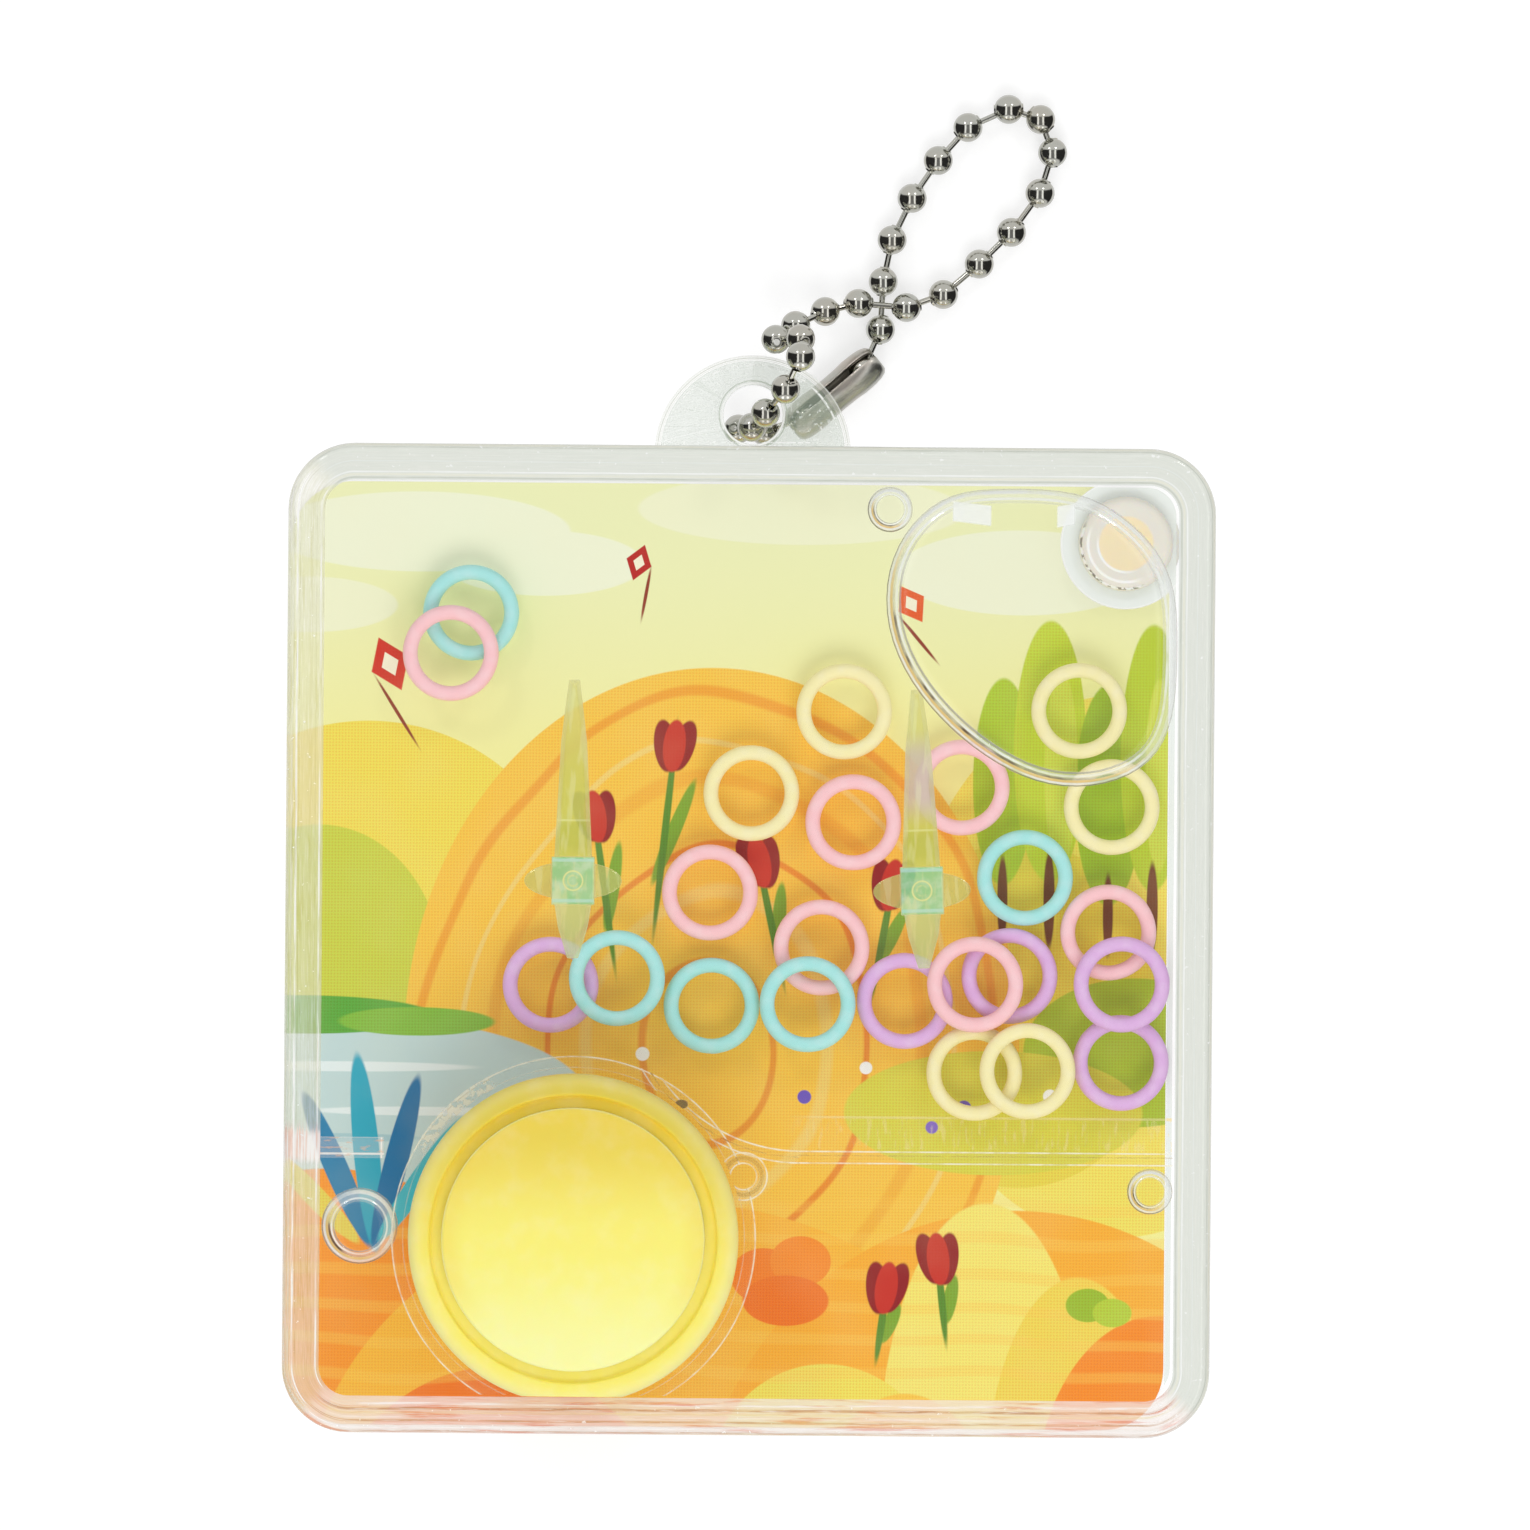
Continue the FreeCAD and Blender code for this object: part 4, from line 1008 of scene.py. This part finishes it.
def plug_colour(paint):
    x, y, _ = paint.xyz
    far = paint.far(PLUG)
    colour = paint.mix(far.ramp(2.35, 2.1), own("plug_rim"), own("plug_skin"))
    low_left = (x + y).ramp(PLUG[0] + PLUG[1] - 1.0, PLUG[0] + PLUG[1] - 3.0)
    # Painted highlights: white crescents on the lower left of the skin's edge and of the rim.
    highlight_crescent = paint.larger(far.line(2.3, 0.14), far.line(3.1, 0.16)) * low_left
    colour = paint.mix(highlight_crescent, colour, "fffef8")
    # Painted reflections along the rim's lower left: glints, some dark and some white.
    dark_glint_flecks = paint.noise(1.6, 3.0).ramp(0.5, 0.56)
    glint = far.line(3.66, 0.13) * low_left
    return paint.layers(colour, glint * dark_glint_flecks * 0.85, "706858", glint * (1 - dark_glint_flecks), "fffefa")


class KEYCHAIN_OT_plug(bpy.types.Operator):
    """Turns the plug of the filling hole"""

    bl_idname = "keychain.plug"
    bl_label = "Filler plug"

    def execute(self, context):
        plug = turned(
            "soft_plug",
            [
                (0.0, 3.22), (1.9, 3.25), (2.3, 3.3), *arc((3.05, 2.5), 0.8, 90, 0, 7),
                (3.85, 1.81), (2.95, 1.81), (2.95, 0.27), *arc((4.4, 0.17), 0.1, 90, -90, 4),
                (2.3, 0.07), (2.2, 0.2), (2.2, 2.4), (2.0, 2.5), (0.0, 2.5),
            ],
            PLUG,
            72,
        )
        dress(plug, soft_plastic("soft plug", plug_colour, 0.35), "case", "soft_white", "filler_plug")
        return {"FINISHED"}


def peg_paint(node):
    """Clear lime plastic, with the thick block, its pin and the bright lines at its ends."""
    paint = Paint("lime " + node.replace("_", " "))
    local = paint.turned_to(paint.place, PEG_MIDDLES[node], PEG_LEANS[node], (1, 1))
    across, along, _ = paint.parts(local)
    up = paint.facing[2].ramp(0.5, 0.95)
    spike = along.ramp(1.6, 1.9)
    tail = along.ramp(-1.6, -1.9)
    core = abs(along).ramp(1.95, 1.85) * abs(across).ramp(1.75, 1.65)
    colour = paint.layers(
        "c4c662", spike, own("spike"), along.line(3.6, 1.7), "bcc846",
        along.ramp(6.0, 16.5), "ded876", tail, "bed684", core, own("peg_block"),
    )
    cloudy = paint.noise(0.8, 3.0).ramp(0.4, 0.7)
    colour = paint.mix(cloudy * core * 0.7, colour, "ceeed0")
    if node == "right_peg":
        colour = paint.mix(along.line(9.2, 4.2) * 0.8, colour, "cebcba")
    veins = paint.streaks(across * 1.3, along * 0.22, 3.0, 2.0)
    colour = paint.mix(veins.ramp(0.5, 0.62) * 0.4, colour, "e8eeb0")
    bars = paint.larger(along.line(1.66, 0.18), along.line(-1.62, 0.20)) * core
    step = along.line(4.9, 0.12) * spike
    from_pin = paint.length(across, along)
    pin = paint.larger(from_pin.line(0.78, 0.10), from_pin.line(0.42, 0.10) * cloudy)
    colour = paint.layers(
        colour, bars * 0.8, "b2eada", paint.larger(pin, step * 0.7) * 0.9, "e6f0a0",
    )
    glints = paint.noise(0.7, 1.0).ramp(0.35, 0.7)
    # Painted highlights on the bevelled sides, in glints.
    colour = paint.mix((1 - up) * (0.3 + glints * 0.3), colour, "f4f6be")
    veil = paint.larger(
        0.42 + spike * 0.14 + core * 0.16, bars * 0.6, pin * 0.65, step * 0.5,
        (1 - up) * (0.5 + glints * 0.12),
    )
    return clear_plastic(paint, veil, colour, 0.5, 0.08)


class KEYCHAIN_OT_pegs(bpy.types.Operator):
    """Softens the moulded edges of the two pegs and gives them clear lime plastic"""

    bl_idname = "keychain.pegs"
    bl_label = "Pegs"

    def execute(self, context):
        for node in PEG_MIDDLES:
            peg = merged_copy(node, "clear_" + node, whole=True)
            modify(
                peg, "BEVEL", width=sizes().peg_bevel, segments=2, limit_method="ANGLE",
                angle_limit=radians(30),
            )
            settle(peg)
            dress(peg, peg_paint(node), "case", "clear_peg", node)
            let_light_in(peg)
        return {"FINISHED"}


def ring_paint(name, wanted):
    """Matte moulded plastic with a faint mould grain, and painted shade on its underside."""
    paint = Paint(name)
    mottle = paint.noise(0.9, 3.0)
    grains = paint.noise(7.0, 3.0)
    flow = paint.noise(0.35, 1.0)
    colour = paint.mix(mottle.ramp(0.35, 0.8) * 0.16, wanted, (1, 1, 1))
    deeper = tuple(part**1.35 for part in wanted)
    colour = paint.mix(flow.ramp(0.4, 0.75) * 0.10, colour, deeper)
    # Painted shade: darker where the ring faces down.
    underside_shade = paint.facing[2].ramp(0.25, -0.2)
    colour = paint.mix(underside_shade * 0.2, colour, deeper)
    shader = paint.surface(
        base_color=colour,
        roughness=0.52 + (grains - 0.5) * 0.16,
        normal=paint.bump(grains, 0.3, 0.03 * MM),
        specular_ior_level=0.35,
    )
    return paint.done(shader)


class KEYCHAIN_OT_rings(bpy.types.Operator):
    """Moulds one ring and lays a copy of it at each ring of the frame"""

    bl_idname = "keychain.rings"
    bl_label = "Rings"

    def execute(self, context):
        section, middle = 0.6, 3.29
        profile = []
        for step in range(24):
            angle = tau * step / 24
            radius = section + (sizes().ring_seam / MM * 0.5 if step == 0 else 0)
            profile.append((middle + radius * cos(angle), radius * sin(angle)))
        first = turned("ring_mould", [*profile, profile[0]], steps=72)
        edit(first)
        bpy.ops.mesh.select_mode(type="FACE")
        bpy.ops.mesh.select_all(action="DESELECT")
        bpy.ops.object.mode_set(mode="OBJECT")
        for face in first.data.polygons:
            at = face.center / MM
            face.select = at.x > 3.85 and abs(at.y) < 0.2 and -0.2 < at.z < 0.0
        bpy.ops.object.mode_set(mode="EDIT")
        bpy.ops.mesh.extrude_region_shrink_fatten(TRANSFORM_OT_shrink_fatten={"value": 0.012 * MM})
        select_all()
        settle(first, 60)
        materials = {}
        for number, name in enumerate(sorted(n for n in frame["nodes"] if n.startswith("ring_"))):
            kind = name.rsplit("_", 1)[0]
            if kind not in materials:
                materials[kind] = ring_paint(kind.replace("_", " "), own(kind))
            low, high = (Vector(corner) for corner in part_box(name))
            made = copy_of(first, "moulded_" + name)
            made.rotation_euler.z = number * 2.4
            made.location = (low + high) / 2
            settle(made, 60)
            dress(made, materials[kind], name, kind, name)
        remove(first)
        return {"FINISHED"}


def lamp_patches(paint):
    """Two soft patches of light that lie on the top of the large bubble."""
    x, y, _ = paint.xyz
    level = abs(y - 34.7 + (x - 17.8) * 0.12).ramp(0.86, 0.74)
    other = abs(y - 34.6 - (x - 25.4) * 0.2).ramp(0.9, 0.78)
    first = abs(x - 17.8).ramp(1.6, 1.48) * level
    return paint.larger(first, abs(x - 25.4).ramp(0.75, 0.63) * other)


def still_paint():
    """The flat top of a bubble: a faint gloss, and the patches of light."""
    paint = Paint("still water")
    return clear_plastic(paint, lamp_patches(paint) * 0.6, "fafdfa", 0.3)


def bubble_paint():
    """Air under the window: only its rim shows, as painted highlight and shade lines, white, golden and
    dark, that stand for the light its curved rim bends and reflects.
    """
    paint = Paint("air bubble")
    ahead, along, up = paint.facing
    inward = 1 - paint.length(ahead, along)
    upper = up.ramp(-0.02, 0.04)
    # The golden and brown painted lines lie on the lower left side only.
    golden_side = (ahead + along * 1.2).ramp(0.2, -0.7)
    glints = paint.noise(0.4, 3.0).ramp(0.35, 0.6)
    dark = inward.line(0.06, 0.07) * (0.6 + golden_side * 0.4)
    white = inward.line(0.26, 0.20) * (0.6 + glints * 0.35)
    golden = inward.line(0.36, 0.12) * golden_side * 0.9
    brown = inward.line(0.48, 0.08) * golden_side * (0.5 + glints * 0.5)
    second = inward.line(0.58, 0.07) * (0.55 + glints * 0.3)
    third = inward.line(0.68, 0.05) * (0.35 + golden_side * 0.5)
    colour = paint.layers(
        "f6f9f5", golden, "e8c060", paint.larger(dark, third), "686250",
        brown, "5c4228",
    )
    band = inward.ramp(0.64, 0.56) * 0.34
    veil = paint.larger(white, golden, dark, brown, second, third, band) * upper
    patches = lamp_patches(paint)
    colour = paint.mix(patches, colour, "fafdfa")
    return clear_plastic(paint, paint.larger(veil, patches * 0.6), colour, 0.6, 0.03)


def finish_bubble(bubble, materials):
    """Smooths a bubble and gives it its still top and its glossy rim."""
    settle(bubble, 80)
    dress(bubble, materials[0], "case", "clear_front")
    let_light_in(bubble)
    finish_faces(bubble, materials, lambda places, way: int(abs(way.z) < 0.98 and way.z > -0.3))


class KEYCHAIN_OT_bubbles(bpy.types.Operator):
    """Shapes the air bubbles that lie under the window"""

    bl_idname = "keychain.bubbles"
    bl_label = "Air bubbles"

    def execute(self, context):
        air = (still_paint(), bubble_paint())
        depth = sizes().bubble_depth / MM
        middle = WINDOW_UNDER - depth / 2
        corners = [(x, y, middle) for x, y in BUBBLE_OUTLINE]
        large = draw("large_bubble", [*corners, corners[0]])
        bpy.ops.mesh.edge_face_add()
        bpy.ops.mesh.normals_make_consistent(inside=False)
        rounding = 2.5
        steps = [radians(angle) for angle in (0, 30, 52, 70, 90)]
        for here, there in zip(steps, steps[1:]):
            bpy.ops.mesh.inset(
                thickness=rounding * (cos(here) - cos(there)) * MM,
                depth=depth / 2 * (sin(there) - sin(here)) * MM,
            )
        select_all()
        bpy.ops.mesh.duplicate()
        bpy.ops.transform.resize(value=(1, 1, -1), center_override=(0, 0, middle * MM))
        close_up()
        settle(large)
        modify(large, "SUBSURF", levels=2, render_levels=2)
        finish_bubble(large, air)
        for name, place, radius, drop in (
            ("small_bubble_top", (11.16, 34.96), 1.85, 2.2),
            ("small_bubble_left", (-31.35, -23.36), 3.1, 2.6),
            ("small_bubble_right", (32.6, -20.1), 1.85, 2.0),
        ):
            flat = radius * 0.45
            side = [
                (flat + (radius - flat) * sin(radians(angle)),
                 WINDOW_UNDER - drop / 2 + drop / 2 * cos(radians(angle)))
                for angle in range(0, 181, 15)
            ]
            top, foot = (0.0, side[0][1]), (0.0, side[-1][1])
            bubble = turned(name, [top, *side, foot], place, 48)
            finish_bubble(bubble, air)
        return {"FINISHED"}


def nickel_paint(name, roughness, other):
    """Nickel plating with a faint warm cast, soft wear and fine polishing marks."""
    paint = Paint(name)
    patches = paint.noise(0.35, 3.0)
    marks = paint.noise(6.0, 4.0)
    colour = paint.layers(
        own("nickel"), patches.ramp(0.35, 0.75) * 0.5, other,
        marks.ramp(0.62, 0.78) * 0.25, "96928a",
    )
    shader = paint.surface(
        base_color=colour,
        metallic=1.0,
        roughness=roughness + marks.ramp(0.4, 0.8) * 0.12,
        normal=paint.bump(marks, 0.08, 0.02 * MM),
    )
    return paint.done(shader)


def make_bead():
    """One bead, rolled from sheet: a collar at each end and a seam along one side."""
    collar = sizes().bead_collar / MM
    half = [
        (0.27, 1.10), (0.27, 1.19), (collar - 0.03, 1.20), (collar, 1.16), (collar + 0.04, 1.09),
    ]
    start = degrees(asin((collar + 0.09) / 1.19))
    sphere = [
        (1.19 * sin(radians(angle)), 1.19 * cos(radians(angle)))
        for angle in (start + (90 - start) * step / 9 for step in range(10))
    ]
    upper = half + sphere
    lower = [(radius, -height) for radius, height in reversed(upper[:-1])]
    bead = turned("bead", upper + lower + [upper[0]], steps=32)
    for point in bead.data.vertices:
        at = point.co / MM
        if at.x > 0.6 and abs(at.y) < 0.02 and abs(at.z) < 1.0:
            point.co.x -= sizes().bead_seam
    return bead


def make_connector(start, end):
    """A folded tube with rounded ends, open along one side, that holds the two end beads."""
    way = end - start
    length = way.length / MM
    profile = [
        (0.80, -1.50), (1.06, -1.46), (1.32, -1.22), (1.49, -0.75), (1.58, -0.10), (1.60, 1.00),
        (1.53, 1.70), (1.50, length / 2), (1.53, length - 1.70), (1.60, length - 1.00),
        (1.58, length + 0.10), (1.49, length + 0.75), (1.32, length + 1.22),
        (1.06, length + 1.46), (0.80, length + 1.50),
    ]
    gap = 0.46
    first = [(radius * cos(gap / 2), radius * sin(gap / 2), height) for radius, height in profile]
    tube = draw("folded_connector", first)
    bpy.ops.mesh.spin(steps=44, angle=tau - gap, center=(0, 0, 0), axis=(0, 0, 1))
    close_up()
    settle(tube)
    modify(tube, "SOLIDIFY", thickness=0.28 * MM, offset=-1.0)
    modify(tube, "BEVEL", width=0.05 * MM, segments=2, limit_method="ANGLE", angle_limit=radians(50))
    settle(tube, 40)
    ahead = way.normalized()
    aside = Vector((0, 0, 1)).cross(ahead)
    slit = (Vector((0, 0, 0.62)) + aside * 0.78).normalized()
    across = ahead.cross(slit)
    turn = Matrix((slit, across, ahead)).transposed().to_4x4()
    tube.matrix_world = Matrix.Translation(start) @ turn
    return settle(tube, 40)


class KEYCHAIN_OT_chain(bpy.types.Operator):
    """Strings the beads on their wires and folds the connector round the end beads"""

    bl_idname = "keychain.chain"
    bl_label = "Ball chain"

    def execute(self, context):
        nickel = nickel_paint("nickel plating", 0.08, "cac2b4")
        dull = nickel_paint("worn nickel plating", 0.3, "d8c4b8")
        places = [Vector((x, y + CASE_HALF[1], z)) * MM for x, y, z in BEADS]
        first = make_bead()
        beads = []
        for number, place in enumerate(places):
            before = places[max(number - 1, 0)]
            after = places[min(number + 1, len(places) - 1)]
            way = (after - place).normalized() + (place - before).normalized()
            bead = copy_of(first, f"bead_{number + 1}")
            turn = way.to_track_quat("Z", "Y").to_matrix().to_4x4()
            twist = Matrix.Rotation(number * 2.1 + 0.7, 4, "Z")
            bead.matrix_world = Matrix.Translation(place) @ turn @ twist
            beads.append(bead)
        remove(first)
        pick(*beads)
        bpy.ops.object.join()
        row = bpy.context.object
        row.name = row.data.name = "bead_row"
        settle(row, 45)
        dress(row, nickel, "chain", "nickel", "chain_beads")
        connector = make_connector(places[0], places[-1])
        dress(connector, dull, "chain", "nickel", "chain_connector")
        for slot in frame["nodes"]["chain_links"].material_slots:
            slot.material = nickel
        return {"FINISHED"}


def studio_world():
    """White to the camera, plain soft light to the object, and a lit room in its gloss."""
    world = bpy.data.worlds.new("studio")
    bpy.context.scene.world = world
    paint = Paint("studio", world)
    camera, through, glossy = paint.rays("Camera", "Transmission", "Glossy")
    seen = paint.larger(camera, through)
    x, y, z = paint.parts(paint.node("TexCoord", out=0))
    between = y.ramp(-0.74, -0.66) * y.ramp(0.40, 0.32) * z.ramp(0.0, 0.2)
    strip = abs(x).line(0.34, 0.15) * between
    middle = abs(x).ramp(0.45, 0.2) * between
    light_spots = abs(x).line(0.27, 0.16) * abs(y + 0.93).ramp(0.09, 0.04) * z.ramp(0.0, 0.1)
    room = paint.larger(
        y.ramp(0.30, 0.42) * 0.74, y.ramp(-0.68, -0.80) * 0.72,
        z.ramp(-0.42, -0.55) * 0.8,
    )
    mirrored = 0.03 + room + middle * 0.18 + strip * 1.3 + light_spots * 1.5
    strength = seen + (1 - seen) * (glossy * mirrored + (1 - glossy) * 0.72)
    back = paint.node("Background", sockets={"Color": (1, 1, 1), "Strength": strength})
    paint.done(back, "World")


def floor_paint():
    """Pale floor that looks white and keeps the object's soft shadow."""
    paint = Paint("studio floor")
    seen = paint.larger(*paint.rays("Camera", "Glossy", "Transmission"))
    grain = paint.noise(0.02, 2.0)
    colour = paint.mix(grain, "bebebe", "c2c2c2")
    matte = paint.node("BsdfDiffuse", sockets={"Color": colour})
    glow = paint.node("Emission", sockets={"Color": (1, 1, 1), "Strength": seen * 0.56})
    return paint.done(paint.node("AddShader", sockets={0: matte, 1: glow}))


def lamp(name, place, target, width, height, power):
    clear_selection()
    bpy.ops.object.light_add(type="AREA", location=place)
    made = bpy.context.object
    made.name = name
    made.data.shape = "RECTANGLE"
    made.data.size, made.data.size_y, made.data.energy = width, height, power
    made.rotation_euler = (Vector(target) - Vector(place)).to_track_quat("-Z", "Y").to_euler()
    return made


class KEYCHAIN_OT_stage(bpy.types.Operator):
    """Sets up the floor, the soft light and the camera that looks straight down"""

    bl_idname = "keychain.stage"
    bl_label = "Stage"

    def execute(self, context):
        scene = bpy.context.scene
        scene.view_settings.view_transform = "Standard"
        scene.cycles.transparent_max_bounces = 24
        studio_world()
        clear_selection()
        bpy.ops.mesh.primitive_grid_add(x_subdivisions=8, y_subdivisions=8, size=4, location=(0, 0, -5e-5))
        floor = bpy.context.object
        floor.name = "floor"
        bpy.ops.object.transform_apply(location=True)
        floor.data.materials.append(floor_paint())
        floor.visible_glossy = False
        middle = (0.0, 0.012, 0.0)
        key = lamp("key", (0.15, -0.75, 1.15), middle, 0.9, 0.7, 5.2)
        key.visible_glossy = False
        lamp("upper_left", (-0.62, 0.95, 1.1), middle, 0.22, 0.15, 1.2)
        lamp("upper_right", (0.62, 0.95, 1.1), middle, 0.18, 0.15, 1.0)
        distance, wide = 1.5, 0.1241
        bpy.ops.object.camera_add(
            location=(1.19 * MM, 14.2 * MM, distance + 6 * MM), rotation=(0, 0, radians(0.45))
        )
        camera = bpy.context.object
        camera.data.sensor_width = 36
        camera.data.lens = 36 * distance / wide
        camera.data.clip_start = 0.01
        camera.data.clip_end = 20
        scene.camera = camera
        return {"FINISHED"}


class KEYCHAIN_PT_panel(bpy.types.Panel):
    bl_idname = "KEYCHAIN_PT_panel"
    bl_label = "Water game keychain"
    bl_space_type = "VIEW_3D"
    bl_region_type = "UI"
    bl_category = "Keychain"

    def draw(self, context):
        for operator in OPERATORS:
            self.layout.operator(operator.bl_idname)
        for group in (context.scene.keychain_sizes, context.scene.keychain_colours):
            box = self.layout.box()
            for name in group.__annotations__:
                box.prop(group, name)


OPERATORS = (
    KEYCHAIN_OT_stage,
    KEYCHAIN_OT_picture_card,
    KEYCHAIN_OT_case,
    KEYCHAIN_OT_button,
    KEYCHAIN_OT_plug,
    KEYCHAIN_OT_pegs,
    KEYCHAIN_OT_rings,
    KEYCHAIN_OT_bubbles,
    KEYCHAIN_OT_chain,
)
CLASSES = (KeychainSizes, KeychainColours, *OPERATORS, KEYCHAIN_PT_panel)


def register():
    for kind in CLASSES:
        bpy.utils.register_class(kind)
    bpy.types.Scene.keychain_sizes = PointerProperty(type=KeychainSizes)
    bpy.types.Scene.keychain_colours = PointerProperty(type=KeychainColours)


def unregister():
    del bpy.types.Scene.keychain_colours
    del bpy.types.Scene.keychain_sizes
    for kind in reversed(CLASSES):
        bpy.utils.unregister_class(kind)


def main():
    register()
    for operator in OPERATORS:
        group, name = operator.bl_idname.split(".")
        getattr(getattr(bpy.ops, group), name)()


if __name__ == "__main__":
    main()
